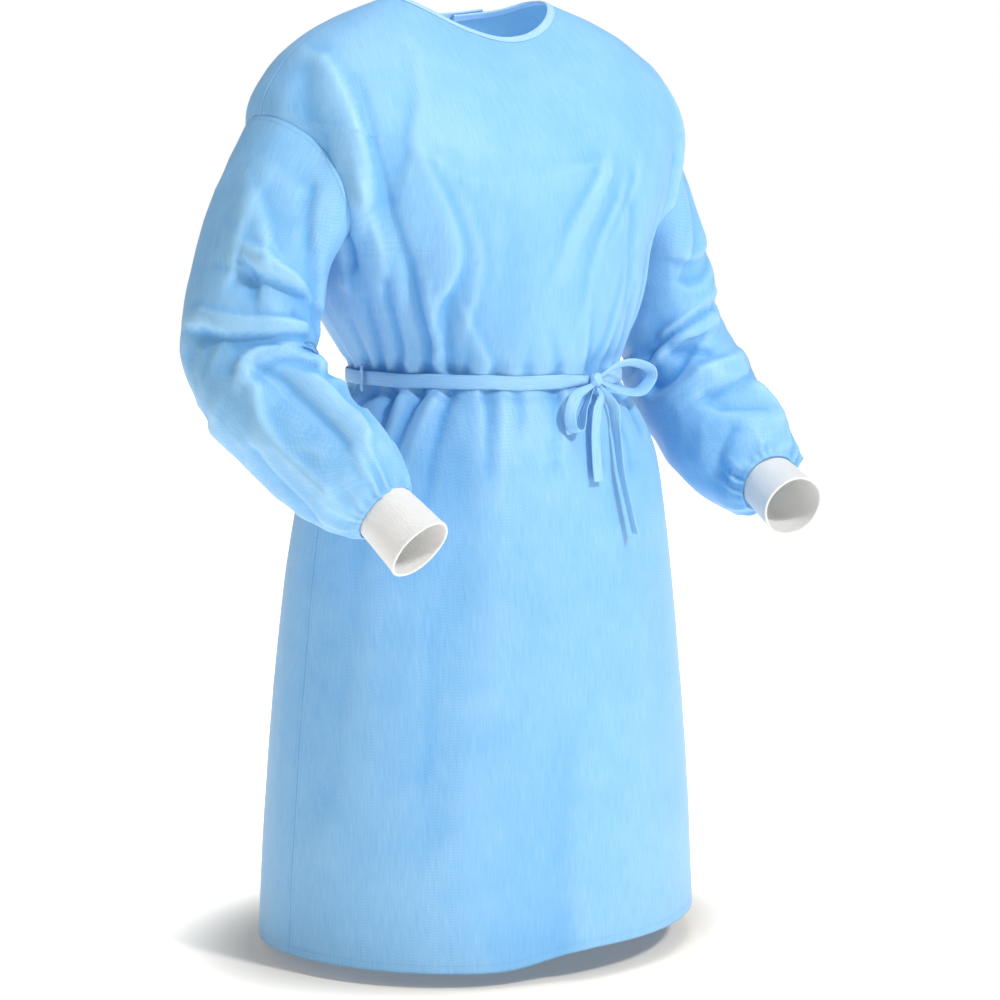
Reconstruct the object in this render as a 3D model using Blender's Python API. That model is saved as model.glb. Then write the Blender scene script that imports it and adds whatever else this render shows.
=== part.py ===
"""Isolation gown, worn form with no wearer: cut cloth pieces as thin walls, in metres, +Z up.

The origin is midway between the two high shoulder points at the neck. +X is the wearer's left and -Y the front.
"""

import math

import bmesh
import bpy
import numpy as np

# Cloth and seams.
CLOTH_WALL = 0.0018
KNIT_WALL = 0.0025
TAPE_WALL = 0.0012
SEAM_GAP = 0.0003
ARMHOLE_GAP = 0.00045
SLOPE_STEP = 0.01
ANGLE_STEP = 0.5
TINY = 1e-6

# Rings of the body from the neck edge to the hem. Each is a rounded loop: half its width at the sides, how far its
# front and back reach from the shoulder line, the heights of its sides, front and back, and its squareness.
RING_COLUMNS = ("name", "half_width", "front", "back", "side_z", "front_z", "back_z", "power")
RINGS = (
    ("neck edge", 0.122, 0.074, 0.079, 0.000, -0.050, -0.017, 2.00),
    ("neck base", 0.150, 0.103, 0.096, -0.009, -0.071, -0.040, 2.00),
    ("near shoulder", 0.200, 0.137, 0.118, -0.026, -0.103, -0.075, 2.05),
    ("mid shoulder", 0.251, 0.163, 0.133, -0.051, -0.138, -0.109, 2.10),
    ("shoulder point", 0.297, 0.182, 0.142, -0.089, -0.172, -0.143, 2.15),
    ("armhole top", 0.329, 0.197, 0.146, -0.145, -0.208, -0.184, 2.15),
    ("armhole middle", 0.306, 0.208, 0.145, -0.232, -0.258, -0.246, 2.15),
    ("underarm", 0.262, 0.213, 0.138, -0.308, -0.312, -0.310, 2.12),
    ("ribs", 0.233, 0.215, 0.124, -0.368, -0.370, -0.369, 2.10),
    ("above belt", 0.194, 0.211, 0.104, -0.430, -0.431, -0.430, 2.08),
    ("belt top", 0.181, 0.206, 0.095, -0.4535, -0.4555, -0.4535, 2.05),
    ("belt bottom", 0.181, 0.207, 0.096, -0.4755, -0.4775, -0.4755, 2.05),
    ("below belt", 0.197, 0.221, 0.110, -0.498, -0.500, -0.498, 2.05),
    ("high hip", 0.229, 0.243, 0.144, -0.562, -0.564, -0.562, 2.08),
    ("hip", 0.249, 0.257, 0.176, -0.670, -0.670, -0.670, 2.05),
    ("thigh", 0.264, 0.268, 0.196, -0.790, -0.790, -0.790, 2.02),
    ("knee", 0.277, 0.277, 0.208, -0.910, -0.910, -0.910, 2.00),
    ("shin", 0.287, 0.283, 0.218, -1.040, -1.040, -1.040, 2.00),
    ("hem", 0.294, 0.287, 0.224, -1.172, -1.172, -1.172, 2.00),
)
# Share of the half width on the wearer's left, by ring: that shoulder is a little narrower.
LEFT_SHARE = ((0.0, 1.00), (2.5, 1.00), (3.5, 0.975), (5.0, 0.940), (6.5, 0.945), (8.5, 0.985), (10.0, 1.00))
# The hem is a little higher at the front and the wearer's left: how much, and between which angles it rises.
HEM_LIFT = 0.020
HEM_LIFT_ANGLES = (-34.0, -6.0, 70.0, 120.0)
HEM_LIFT_RING = 14.0
ARMHOLE_TOP_RING = 5.0
UNDERARM_RING = 7.0
BELT_RING = 10.5
BELT_HOLD_RINGS = 0.6
HEM_RING = len(RINGS) - 1.0

# The armhole seam leaves the side by these angles at its front and back.
ARMHOLE_FRONT_SWEEP = 28.0
ARMHOLE_BACK_SWEEP = 28.0
PANEL_CORE = 40.0

# The back panels overlap: the right one lies outside and ends past the centre, the left one lies under it.
OUTER_BACK_END = ((0.0, 221.0), (3.0, 219.0), (10.5, 217.0), (18.0, 213.0))
INNER_BACK_END = ((0.0, 161.0), (3.0, 170.0), (10.5, 184.0), (18.0, 192.0))
LAYER_TUCK_NECK = 0.0056
LAYER_TUCK_BELOW = 0.0036
LAYER_TUCK_RINGS = 1.5
LAYER_TUCK_START = 100.0
LAYER_TUCK_FULL = 134.0

# Sleeve sections from the armhole to the cuff seam. x is the distance out from the middle of the body.
SLEEVE_COLUMNS = ("name", "x", "y", "z", "across", "along")
RIGHT_SLEEVE = (
    ("armhole", 0.290, -0.004, -0.227, 0.094, 0.090),
    ("upper arm", 0.322, -0.005, -0.286, 0.096, 0.076),
    ("mid upper arm", 0.341, -0.008, -0.346, 0.093, 0.072),
    ("above elbow", 0.356, -0.018, -0.403, 0.089, 0.073),
    ("elbow", 0.361, -0.045, -0.460, 0.083, 0.076),
    ("below elbow", 0.353, -0.089, -0.504, 0.076, 0.079),
    ("forearm", 0.342, -0.133, -0.540, 0.071, 0.077),
    ("low forearm", 0.330, -0.175, -0.569, 0.065, 0.070),
    ("gathered end", 0.322, -0.205, -0.590, 0.053, 0.054),
    ("cuff seam", 0.319, -0.219, -0.601, 0.0375, 0.0375),
)
LEFT_SLEEVE = (
    ("armhole", 0.274, -0.004, -0.227, 0.094, 0.088),
    ("upper arm", 0.303, -0.004, -0.287, 0.095, 0.073),
    ("mid upper arm", 0.322, -0.006, -0.348, 0.093, 0.071),
    ("above elbow", 0.335, -0.014, -0.411, 0.089, 0.072),
    ("elbow", 0.341, -0.040, -0.472, 0.085, 0.075),
    ("below elbow", 0.338, -0.084, -0.520, 0.081, 0.079),
    ("forearm", 0.336, -0.130, -0.560, 0.077, 0.078),
    ("low forearm", 0.334, -0.174, -0.592, 0.070, 0.071),
    ("gathered end", 0.328, -0.207, -0.609, 0.055, 0.055),
    ("cuff seam", 0.323, -0.224, -0.616, 0.0375, 0.0375),
)
SLEEVE_START_WAY = (0.78, 0.0, -0.62)
SLEEVE_OUTER = (0.586, 0.0, 0.810)
SLEEVE_START_ROWS = 2.0
SLEEVE_BLEND_ROWS = 3.2
SLEEVE_FOLDS_FROM_ROW = 0.8
CUFF_GATHERS = 12
CUFF_GATHER_HEIGHT = 0.0038
CUFF_GATHER_ROWS = 2.2
CUFF_GATHER_RISE = 1.6
CUFF_GATHER_END_ROWS = 0.5
CUFF_GATHER_UNEVEN = 0.25

# Knit cuffs.
CUFF_LENGTH = 0.064
CUFF_SEAM_RADIUS = 0.0375
CUFF_OPENING_RADIUS = 0.0410

# Folded binding round the neck.
BINDING_RING = 0.30
BINDING_WALL = 0.0010

# Belt, its carriers at the side seams and its bow. The knot sits on this angle round the waist.
KNOT_ANGLE = 7.0
BELT_HALF_RINGS = 0.40
BELT_STAND = 0.0007
BELT_NARROW_ANGLE = 16.0
BELT_NARROW_SHARE = 0.55
BELT_END_FROM_KNOT = 0.0059
KNOT_HALF = (0.0085, 0.0095, 0.0070)
CARRIER_ANGLES = (-86.0, 86.0)
CARRIER_WIDTH = 0.005
CARRIER_HALF_HEIGHT = 0.0165
CARRIER_STAND = 0.0050
CARRIER_FOOT_GAP = 0.0009
BELT_RING_HEIGHT = 0.022
BODY_REACH_RINGS = 2.0
BODY_REACH_STEPS = 200

# Ribbons of the bow: how far each place lies to the wearer's left of the knot, above it and out from the body's own
# face there. lean turns the ribbon's width from upright (0) to straight out from the body (90).
BOW_COLUMNS = ("name", "side", "up", "out", "lean", "width")
LEFT_LOOP = (
    ("leaves the knot", 0.0088, 0.0042, 0.0085, 30, 0.0066),
    ("rises", 0.0340, 0.0160, 0.0150, 42, 0.0150),
    ("top", 0.0630, 0.0180, 0.0230, 56, 0.0165),
    ("far turn", 0.1010, 0.0080, 0.0320, 68, 0.0165),
    ("far end", 0.1050, -0.0060, 0.0320, 74, 0.0165),
    ("returns", 0.0780, -0.0190, 0.0220, 62, 0.0165),
    ("comes back", 0.0420, -0.0150, 0.0135, 44, 0.0150),
    ("meets the knot", 0.0088, -0.0030, 0.0085, 30, 0.0062),
)
RIGHT_LOOP = (
    ("leaves the knot", -0.0076, -0.0062, 0.0085, 40, 0.0060),
    ("falls", -0.0450, -0.0160, 0.0150, 50, 0.0145),
    ("low", -0.0640, -0.0330, 0.0150, 60, 0.0150),
    ("low turn", -0.0680, -0.0530, 0.0140, 74, 0.0150),
    ("turns up", -0.0560, -0.0560, 0.0130, 76, 0.0145),
    ("rises", -0.0380, -0.0300, 0.0120, 66, 0.0130),
    ("meets the knot", -0.0040, -0.0098, 0.0060, 55, 0.0050),
)
FRONT_TAIL = (
    ("leaves the knot", 0.0004, -0.0102, 0.0092, 12, 0.0060),
    ("drops", -0.0040, -0.0190, 0.0130, 10, 0.0110),
    ("falls", -0.0220, -0.0340, 0.0140, 8, 0.0150),
    ("hangs", -0.0340, -0.0640, 0.0110, 6, 0.0165),
    ("lower", -0.0400, -0.0950, 0.0100, 6, 0.0165),
    ("cut end", -0.0410, -0.1190, 0.0100, 8, 0.0165),
)
SIDE_TAIL = (
    ("leaves the knot", 0.0061, -0.0079, 0.0082, 50, 0.0056),
    ("falls", 0.0090, -0.0340, 0.0130, 84, 0.0150),
    ("turns", 0.0000, -0.0620, 0.0130, 106, 0.0165),
    ("hangs", -0.0060, -0.1060, 0.0130, 114, 0.0165),
    ("lower", 0.0010, -0.1510, 0.0130, 115, 0.0165),
    ("cut end", 0.0080, -0.1860, 0.0140, 114, 0.0165),
)

# Main folds of the body: three places along each, as an angle round the body and a ring, then the width and the
# height of the fold in metres. A trough has a negative height. start and end give its strength at each end.
FOLD_COLUMNS = (
    "name", "angle_a", "ring_a", "angle_b", "ring_b", "angle_c", "ring_c", "width", "height", "start", "end",
)
BODY_FOLDS = (
    ("shoulder drape ridge", -75, 3.7, -57, 4.8, -57, 6.0, 0.020, 0.009, 0.4, 1.0),
    ("shoulder drape foot", -57, 6.0, -60, 6.8, -63, 7.4, 0.018, 0.008, 1.0, 0.2),
    ("shoulder drape crease", -60, 3.9, -52, 4.9, -51, 6.0, 0.014, -0.007, 0.2, 1.0),
    ("chest crease", -51, 6.0, -54, 7.4, -57, 8.8, 0.013, -0.007, 1.0, 0.5),
    ("shoulder cap trough", -78, 4.0, -73, 4.7, -70, 5.4, 0.020, -0.006, 0.5, 0.6),
    ("curved chest trough", -34, 5.9, -34, 7.0, -46, 8.1, 0.016, -0.006, 0.4, 0.8),
    ("left drag line", 6, 5.2, -2, 6.2, -9, 7.2, 0.014, -0.004, 0.8, 0.3),
    ("left second drag line", 8, 5.7, 2, 6.8, -3, 7.8, 0.014, -0.004, 0.8, 0.3),
    ("left long drag line", 19, 6.1, 22, 7.1, 23, 8.1, 0.016, -0.005, 0.6, 0.6),
    ("left shoulder ridge", 72, 3.8, 57, 4.9, 57, 6.2, 0.020, 0.008, 0.4, 1.0),
    ("left armpit trough", 50, 5.4, 52, 6.8, 58, 8.4, 0.015, -0.007, 0.5, 0.8),
    ("side gather above belt", -80, 9.9, -77, 9.0, -72, 8.0, 0.009, -0.006, 1.0, 0.2),
    ("second gather above belt", -72, 9.9, -68, 8.9, -63, 7.8, 0.009, -0.006, 1.0, 0.2),
    ("long gather above belt", -61, 9.9, -58, 8.8, -52, 7.4, 0.009, -0.007, 1.0, 0.2),
    ("right front gather above belt", -52, 9.9, -51, 9.2, -49, 8.2, 0.008, -0.005, 1.0, 0.2),
    ("centre gather above belt", -35, 9.9, -34, 9.2, -33, 8.4, 0.010, -0.003, 1.0, 0.2),
    ("knot gather above belt", 5, 9.9, 5, 9.2, 4, 8.6, 0.010, -0.005, 1.0, 0.2),
    ("deep gather below belt", -73, 11.2, -72, 12.0, -71, 12.9, 0.009, -0.008, 1.0, 0.2),
    ("side gather below belt", -82, 11.2, -82, 11.7, -83, 12.4, 0.008, -0.006, 1.0, 0.2),
    ("second gather below belt", -62, 11.2, -64, 12.0, -66, 12.8, 0.009, -0.006, 1.0, 0.2),
    ("third gather below belt", -54, 11.2, -54, 12.1, -55, 13.2, 0.010, -0.005, 1.0, 0.2),
    ("centre gather below belt", -39, 11.2, -38, 12.0, -36, 12.9, 0.010, -0.004, 1.0, 0.2),
    ("centre ridge below belt", -31, 11.4, -31, 12.4, -32, 13.6, 0.014, 0.004, 0.6, 0.2),
    ("knot gather below belt", -9, 11.2, -11, 12.0, -14, 13.0, 0.012, -0.004, 1.0, 0.2),
    ("skirt front fold", -48, 13.0, -47, 14.4, -50, 16.6, 0.045, -0.006, 0.5, 0.3),
    ("skirt hem fold", -18, 15.8, -20, 17.0, -20, 18.0, 0.050, -0.008, 0.1, 1.0),
)

# Gathers worked out along the belt on the wearer's left and back, where the photograph shows none.
HIDDEN_GATHER_ANGLES = (28, 44, 58, 71, 84, 99, 114, 128, 200, 214, 229, 244, 258)
HIDDEN_GATHER_WIDTH = 0.0095
HIDDEN_GATHER_DEPTH = 0.0060
HIDDEN_GATHER_LEAN = 5.0
HIDDEN_GATHER_TOP = (8.7, -1.1)
HIDDEN_GATHER_FOOT = (13.3, -0.9)

# Main folds of the sleeves: the same columns, with turn and row in place of angle and ring.
RIGHT_SLEEVE_FOLDS = (
    ("cap facet", 10, 0.5, 34, 1.1, 46, 1.7, 0.018, 0.005, 0.3, 1.0),
    ("cap facet foot", 46, 1.7, 62, 1.9, 80, 2.1, 0.016, 0.006, 1.0, 0.4),
    ("upper crease", 34, 2.1, 64, 2.3, 94, 2.4, 0.013, -0.006, 0.5, 1.0),
    ("elbow crease", -10, 3.1, 30, 3.5, 80, 3.6, 0.012, -0.007, 0.5, 1.0),
    ("elbow inner crease", 80, 3.2, 110, 3.6, 140, 3.8, 0.012, -0.008, 0.8, 1.0),
    ("elbow ridge", -2, 4.0, 34, 3.9, 60, 4.4, 0.014, 0.005, 0.6, 1.0),
    ("under elbow trough", 60, 4.9, 95, 4.6, 130, 4.4, 0.013, -0.006, 0.5, 1.0),
    ("forearm ridge", -18, 5.4, -40, 6.1, -58, 7.2, 0.018, 0.005, 0.7, 0.6),
    ("back elbow fold", 250, 3.6, 215, 3.5, 180, 3.6, 0.014, -0.006, 0.3, 1.0),
)
LEFT_SLEEVE_FOLDS = (
    ("upper crease", 100, 2.2, 70, 2.2, 40, 1.9, 0.014, -0.005, 1.0, 0.3),
    ("elbow crease", 134, 3.9, 108, 3.6, 62, 3.1, 0.012, -0.007, 1.0, 0.4),
    ("second elbow crease", 130, 4.6, 100, 4.7, 68, 4.1, 0.013, -0.006, 1.0, 0.4),
    ("elbow ridge", 112, 4.2, 88, 4.0, 60, 3.6, 0.013, 0.005, 0.8, 0.4),
    ("forearm facet", 12, 4.6, 40, 5.0, 82, 5.1, 0.018, 0.005, 0.3, 1.0),
    ("forearm trough", 80, 6.1, 60, 6.4, 40, 6.6, 0.018, -0.005, 0.8, 0.3),
    ("back elbow fold", 250, 3.6, 215, 3.5, 180, 3.6, 0.014, -0.006, 0.3, 1.0),
)
FOLD_PATH_STEPS = 12

# How finely the walls are divided.
FRONT_ANGLES = tuple(range(-90, -30, 4)) + tuple(range(-30, 91, 8))
RIGHT_BACK_STEPS = 18
LEFT_BACK_STEPS = 13
ARMHOLE_STEPS = 9
UPPER_ROWS = (0.0, BINDING_RING, 0.9, 1.6, 2.3, 2.9, 3.5, 4.0, 4.4, 4.75)
LOWER_ROWS = (
    7.5, 8.1, 8.7, 9.2, 9.6, 10.0, 10.5, 11.0, 11.4, 11.9, 12.6, 13.4, 14.4, 15.6, 16.8, 18.0,
)
SLEEVE_TURNS = 36
SLEEVE_ROWS = (0.0, 0.35, 0.9, 1.6, 2.2, 2.8, 3.3, 3.8, 4.3, 4.9, 5.7, 6.7, 7.6, 8.3, 9.0)
CUFF_TURNS = 24
BELT_STEPS = 78
BOW_STEPS_A_SECTION = 4

# Colours: linear RGB of the cloth, the paler binding and the white knit.
CLOTH_COLOUR = (0.27, 0.56, 0.91)
BINDING_COLOUR = (0.45, 0.70, 0.95)
KNIT_COLOUR = (0.86, 0.86, 0.84)


def column(table, columns, name):
    """One named column of a table as an array."""
    return np.array([row[columns.index(name)] for row in table], dtype=float)


def unit(vectors):
    return vectors / np.linalg.norm(vectors, axis=-1, keepdims=True)


def smooth_step(share):
    share = np.clip(share, 0.0, 1.0)
    return share * share * (3 - 2 * share)


def smooth_through(values, at):
    """Curve through values at 0, 1, 2 and on: a cubic in each gap, with slopes taken from the neighbours."""
    values = np.asarray(values, dtype=float)
    last = len(values) - 1
    at = np.clip(np.asarray(at, dtype=float), 0.0, last)
    left = np.minimum(np.floor(at).astype(int), last - 1)
    part = at - left
    steps = np.diff(values, axis=0)
    slopes = np.concatenate([steps[:1], (steps[1:] + steps[:-1]) / 2, steps[-1:]])
    if values.ndim > 1:
        part = part[..., None]
    rise = smooth_step(part)
    return (
        values[left] * (1 - rise)
        + values[left + 1] * rise
        + slopes[left] * part * (1 - part) ** 2
        - slopes[left + 1] * part * part * (1 - part)
    )


def hem_lift(angle, ring):
    """How much higher than level the skirt hangs at this angle: all of it at the hem, and none above the hips."""
    start, full, last, end = HEM_LIFT_ANGLES
    angle = (angle + 180.0) % 360.0 - 180.0
    share = smooth_step((angle - start) / (full - start)) * smooth_step((end - angle) / (end - last))
    return HEM_LIFT * share * np.clip((ring - HEM_LIFT_RING) / (HEM_RING - HEM_LIFT_RING), 0.0, 1.0) ** 2


def body_base(angle, ring):
    """Point of the plain body: angle is 0 at the centre front and 90 at the wearer's left side."""
    angle, ring = np.broadcast_arrays(np.radians(angle), np.asarray(ring, dtype=float))
    size = {name: smooth_through(column(RINGS, RING_COLUMNS, name), ring) for name in RING_COLUMNS[1:]}
    across, ahead = np.sin(angle), np.cos(angle)
    bend = 2.0 / size["power"]
    x = size["half_width"] * np.sign(across) * np.abs(across) ** bend
    x = np.where(x > 0, x * np.interp(ring, *zip(*LEFT_SHARE)), x)
    reach = np.where(ahead > 0, -size["front"], size["back"])
    middle = np.where(ahead > 0, size["front_z"], size["back_z"])
    z = size["side_z"] + (middle - size["side_z"]) * ahead**2 + hem_lift(np.degrees(angle), ring)
    return np.stack([x, reach * np.abs(ahead) ** bend, z], axis=-1)


def fold_height(points, table, place):
    """Sum of the folds at these points: each falls off as a bell with the distance from its own path."""
    total = np.zeros(points.shape[:-1])
    for row in table:
        fold = dict(zip(FOLD_COLUMNS, row))
        share = np.linspace(0.0, 1.0, FOLD_PATH_STEPS)
        near, mid, far = 2 * (share - 0.5) * (share - 1), -4 * share * (share - 1), 2 * share * (share - 0.5)
        angle = fold["angle_a"] * near + fold["angle_b"] * mid + fold["angle_c"] * far
        ring = fold["ring_a"] * near + fold["ring_b"] * mid + fold["ring_c"] * far
        path = place(angle, ring)
        strength = fold["start"] + (fold["end"] - fold["start"]) * share
        best = np.zeros_like(total)
        for start, end, weight in zip(path[:-1], path[1:], (strength[1:] + strength[:-1]) / 2):
            run = end - start
            along = np.clip(((points - start) @ run) / (run @ run), 0.0, 1.0)
            away = np.linalg.norm(points - start - along[..., None] * run, axis=-1)
            best = np.maximum(best, weight * np.exp(-((away / fold["width"]) ** 2)))
        total += best * fold["height"]
    return total


def hidden_gathers():
    """Rows of short troughs above and below the belt, of uneven length, on the sides that the photograph hides."""
    rows = []
    for count, angle in enumerate(HIDDEN_GATHER_ANGLES):
        uneven = 0.5 + 0.5 * math.sin(2.4 * count + 0.7)
        lean = HIDDEN_GATHER_LEAN * math.sin(1.7 * count)
        depth = -HIDDEN_GATHER_DEPTH * (0.6 + 0.5 * uneven)
        top = HIDDEN_GATHER_TOP[0] + HIDDEN_GATHER_TOP[1] * uneven
        foot = HIDDEN_GATHER_FOOT[0] + HIDDEN_GATHER_FOOT[1] * uneven
        above = (angle, 9.9, angle + lean / 2, (9.9 + top) / 2, angle + lean, top)
        below = (angle + 2, 11.2, angle + 2, (11.2 + foot) / 2, angle + 2 - lean / 2, foot)
        rows.append(("gather above belt",) + above + (HIDDEN_GATHER_WIDTH, depth, 1.0, 0.2))
        rows.append(("gather below belt",) + below + (HIDDEN_GATHER_WIDTH, depth, 1.0, 0.2))
    return tuple(rows)


ALL_BODY_FOLDS = BODY_FOLDS + hidden_gathers()


def plain_normals(shape, first, second, top):
    """Normals of a shape of two parameters, from its slopes along each; top is the second one's last value."""
    first, second = np.broadcast_arrays(np.asarray(first, float), np.asarray(second, float))
    slope_first = shape(first + ANGLE_STEP, second) - shape(first - ANGLE_STEP, second)
    before = np.clip(second - SLOPE_STEP, 0.0, top)
    after = np.clip(second + SLOPE_STEP, 0.0, top)
    slope_second = shape(first, after) - shape(first, before)
    return unit(np.cross(slope_second, slope_first))


def body_folded(angle, ring):
    """Point of the body's outer face with its folds."""
    points = body_base(angle, ring)
    height = fold_height(points, ALL_BODY_FOLDS, body_base)
    from_belt = smooth_step((np.abs(ring - BELT_RING) - 0.5) / BELT_HOLD_RINGS)
    height = np.where(height > 0, height * from_belt, height)
    return points + plain_normals(body_base, angle, ring, HEM_RING) * height[..., None]


def body_normals(angle, ring):
    return plain_normals(body_folded, angle, ring, HEM_RING)


def layer_tuck(angle, ring):
    """How far the inner back panel lies under the outer one, for an angle from 90 at the side to 180 at the back."""
    depth = LAYER_TUCK_BELOW + (LAYER_TUCK_NECK - LAYER_TUCK_BELOW) * (1 - smooth_step(ring / LAYER_TUCK_RINGS))
    return depth * smooth_step((angle - LAYER_TUCK_START) / (LAYER_TUCK_FULL - LAYER_TUCK_START))


def armhole(turn):
    """Angle and ring of the left armhole seam: turn is 0 at the top, 90 at the front and 180 under the arm."""
    turn = np.radians(turn)
    half = (UNDERARM_RING - ARMHOLE_TOP_RING) / 2
    middle = (UNDERARM_RING + ARMHOLE_TOP_RING) / 2
    sweep = np.where(np.sin(turn) > 0, ARMHOLE_FRONT_SWEEP, ARMHOLE_BACK_SWEEP)
    return 90 - sweep * np.sin(turn), middle - half * np.cos(turn)


def side_limit(ring, sweep):
    """How far the panel's side edge lies from 90 degrees at this ring: 0 but for the armhole."""
    half = (UNDERARM_RING - ARMHOLE_TOP_RING) / 2
    middle = (UNDERARM_RING + ARMHOLE_TOP_RING) / 2
    return sweep * np.sqrt(np.clip(1 - ((ring - middle) / half) ** 2, 0.0, 1.0))


def panel_rows():
    """Rings of the panels' rows, with those of the armhole spaced evenly along its seam."""
    turns = np.linspace(0.0, 180.0, ARMHOLE_STEPS + 1)
    return np.concatenate([UPPER_ROWS, armhole(turns)[1], LOWER_ROWS])


def narrowed(angle, limit):
    """Angles up to 90 drawn in so that 90 falls on the limit, while those under the core stay."""
    size = np.abs(angle)
    moved = PANEL_CORE + (size - PANEL_CORE) * (limit - PANEL_CORE) / (90 - PANEL_CORE)
    return np.sign(angle) * np.where(size > PANEL_CORE, moved, size)


def seam_offsets(side, turn, wall):
    """Inner edge of the wall on the armhole seam, on the mitre of the body's and the sleeve's faces."""
    angle, ring = armhole(turn)
    body = body_normals(side * angle, ring)
    sleeve = sleeve_normals(side, turn, np.zeros_like(np.asarray(turn, float)))
    mitre = unit(body + sleeve)
    stretch = 1 / np.clip((mitre * body).sum(-1), 0.6, 1.0)
    return -mitre * (wall * stretch)[..., None]


def panel(angles, rows, front, shift):
    """Outer and inner faces of a body panel on a grid of angles; shift moves its side edges clear of the seam."""
    outer = body_folded(angles, rows)
    inner = outer - CLOTH_WALL * body_normals(angles, rows)
    in_armhole = (rows[:, 0] >= ARMHOLE_TOP_RING - TINY) & (rows[:, 0] <= UNDERARM_RING + TINY)
    turns = np.linspace(0.0, 180.0, ARMHOLE_STEPS + 1)
    for edge in (0, -1):
        across = np.sin(np.radians(angles[0, edge]))
        if abs(across) < 1 - TINY:
            continue
        side = np.sign(across)
        turn = turns if front else 360.0 - turns
        inner[in_armhole, edge] = outer[in_armhole, edge] + seam_offsets(side, turn, CLOTH_WALL)
        outer[:, edge, 1] += shift
        inner[:, edge, 1] += shift
    return outer, inner


def front_panel():
    rows = panel_rows()[:, None]
    limit = 90 - side_limit(rows, ARMHOLE_FRONT_SWEEP)
    angles = narrowed(np.array(FRONT_ANGLES, float)[None, :], limit)
    return panel(angles, rows, True, -SEAM_GAP / 2)


def end_angles(ends, rows):
    return np.interp(rows, [ring for ring, _ in ends], [angle for _, angle in ends])


def back_angles(end, rows, steps):
    """Angles from the side at 90 to the panel's free edge, counted over the back, with the armhole let in."""
    share = np.linspace(0.0, 1.0, steps + 1)[None, :]
    start = 90 + side_limit(rows, ARMHOLE_BACK_SWEEP)
    return start + (end - start) * share


def right_back_panel():
    """Outer layer: runs from the right side seam across the centre back."""
    rows = panel_rows()[:, None]
    angles = -back_angles(end_angles(OUTER_BACK_END, rows), rows, RIGHT_BACK_STEPS)
    outer, inner = panel(angles, rows * np.ones_like(angles), False, SEAM_GAP / 2)
    return outer[:, ::-1], inner[:, ::-1]


def left_back_panel():
    """Inner layer: runs from the left side seam under the outer panel."""
    rows = panel_rows()[:, None]
    angles = back_angles(end_angles(INNER_BACK_END, rows), rows, LEFT_BACK_STEPS)
    rows = rows * np.ones_like(angles)
    outer, inner = panel(angles, rows, False, SEAM_GAP / 2)
    tuck = plain_normals(body_base, angles, rows, HEM_RING) * layer_tuck(angles, rows)[..., None]
    return outer - tuck, inner - tuck


def sleeve_frame(table, row):
    """Centre, outer direction, front direction and way along the arm at a row of a sleeve's table."""
    row = np.asarray(row, float)
    centres = np.stack([column(table, SLEEVE_COLUMNS, name) for name in ("x", "y", "z")], axis=-1)
    last = len(table) - 1
    before, after = np.clip(row - SLOPE_STEP, 0, last), np.clip(row + SLOPE_STEP, 0, last)
    way = unit(smooth_through(centres, after) - smooth_through(centres, before))
    start = np.clip(1 - row / SLEEVE_START_ROWS, 0, 1)[..., None] ** 2
    way = unit(way * (1 - start) + np.array(SLEEVE_START_WAY) * start)
    outer = np.array(SLEEVE_OUTER)
    outer = unit(outer - (way @ outer)[..., None] * way)
    return smooth_through(centres, row), outer, np.cross(way, outer), way


def sleeve_table(side):
    return LEFT_SLEEVE if side > 0 else RIGHT_SLEEVE


def sleeve_tube(side, turn, row):
    table = sleeve_table(side)
    centre, outer, front, _ = sleeve_frame(table, row)
    across = smooth_through(column(table, SLEEVE_COLUMNS, "across"), row)[..., None]
    along = smooth_through(column(table, SLEEVE_COLUMNS, "along"), row)[..., None]
    turn = np.radians(turn)[..., None]
    return (centre + outer * along * np.cos(turn) + front * across * np.sin(turn)) * [side, 1, 1]


def armhole_loop(side, turn):
    """The seam's outer edge, straight between the panels' own points so that both sides of the seam agree."""
    step = 180.0 / ARMHOLE_STEPS
    low = np.floor(np.asarray(turn, float) / step + 1e-9) * step
    share = ((turn - low) / step)[..., None]
    start_angle, start_ring = armhole(low)
    end_angle, end_ring = armhole(low + step)
    start = body_folded(side * start_angle, start_ring)
    return start + (body_folded(side * end_angle, end_ring) - start) * share


def sleeve_base(side, turn, row):
    """Point of a sleeve: the armhole loop eases into round sections along the arm."""
    turn, row = np.broadcast_arrays(np.asarray(turn, float), np.asarray(row, float))
    share = np.clip(1 - row / SLEEVE_BLEND_ROWS, 0, 1)[..., None] ** 2
    start = sleeve_tube(side, turn, np.zeros_like(row))
    return sleeve_tube(side, turn, row) + share * (armhole_loop(side, turn) - start)


def sleeve_normals(side, turn, row):
    last = len(sleeve_table(side)) - 1.0
    normals = plain_normals(lambda first, second: sleeve_tube(side, first, second), turn, row, last)
    return -side * normals


def sleeve_folded(side, turn, row):
    """Point of a sleeve's outer face with its folds and the gathers at the cuff."""
    turn, row = np.broadcast_arrays(np.asarray(turn, float), np.asarray(row, float))
    points = sleeve_base(side, turn, row)
    table = LEFT_SLEEVE_FOLDS if side > 0 else RIGHT_SLEEVE_FOLDS
    height = fold_height(points, table, lambda first, second: sleeve_base(side, first % 360, second))
    height *= smooth_step(row / SLEEVE_FOLDS_FROM_ROW)
    last = len(sleeve_table(side)) - 1.0
    near_cuff = smooth_step((row - last + CUFF_GATHER_ROWS) / CUFF_GATHER_ROWS * CUFF_GATHER_RISE)
    near_cuff *= smooth_step((last - row) / CUFF_GATHER_END_ROWS)
    uneven = 1 - CUFF_GATHER_UNEVEN * (1 - np.sin(np.radians(turn) * 3 + 1.0))
    wave = np.cos(np.radians(turn) * CUFF_GATHERS)
    height += CUFF_GATHER_HEIGHT * uneven * near_cuff * wave
    return points + sleeve_normals(side, turn, row) * height[..., None]


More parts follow.
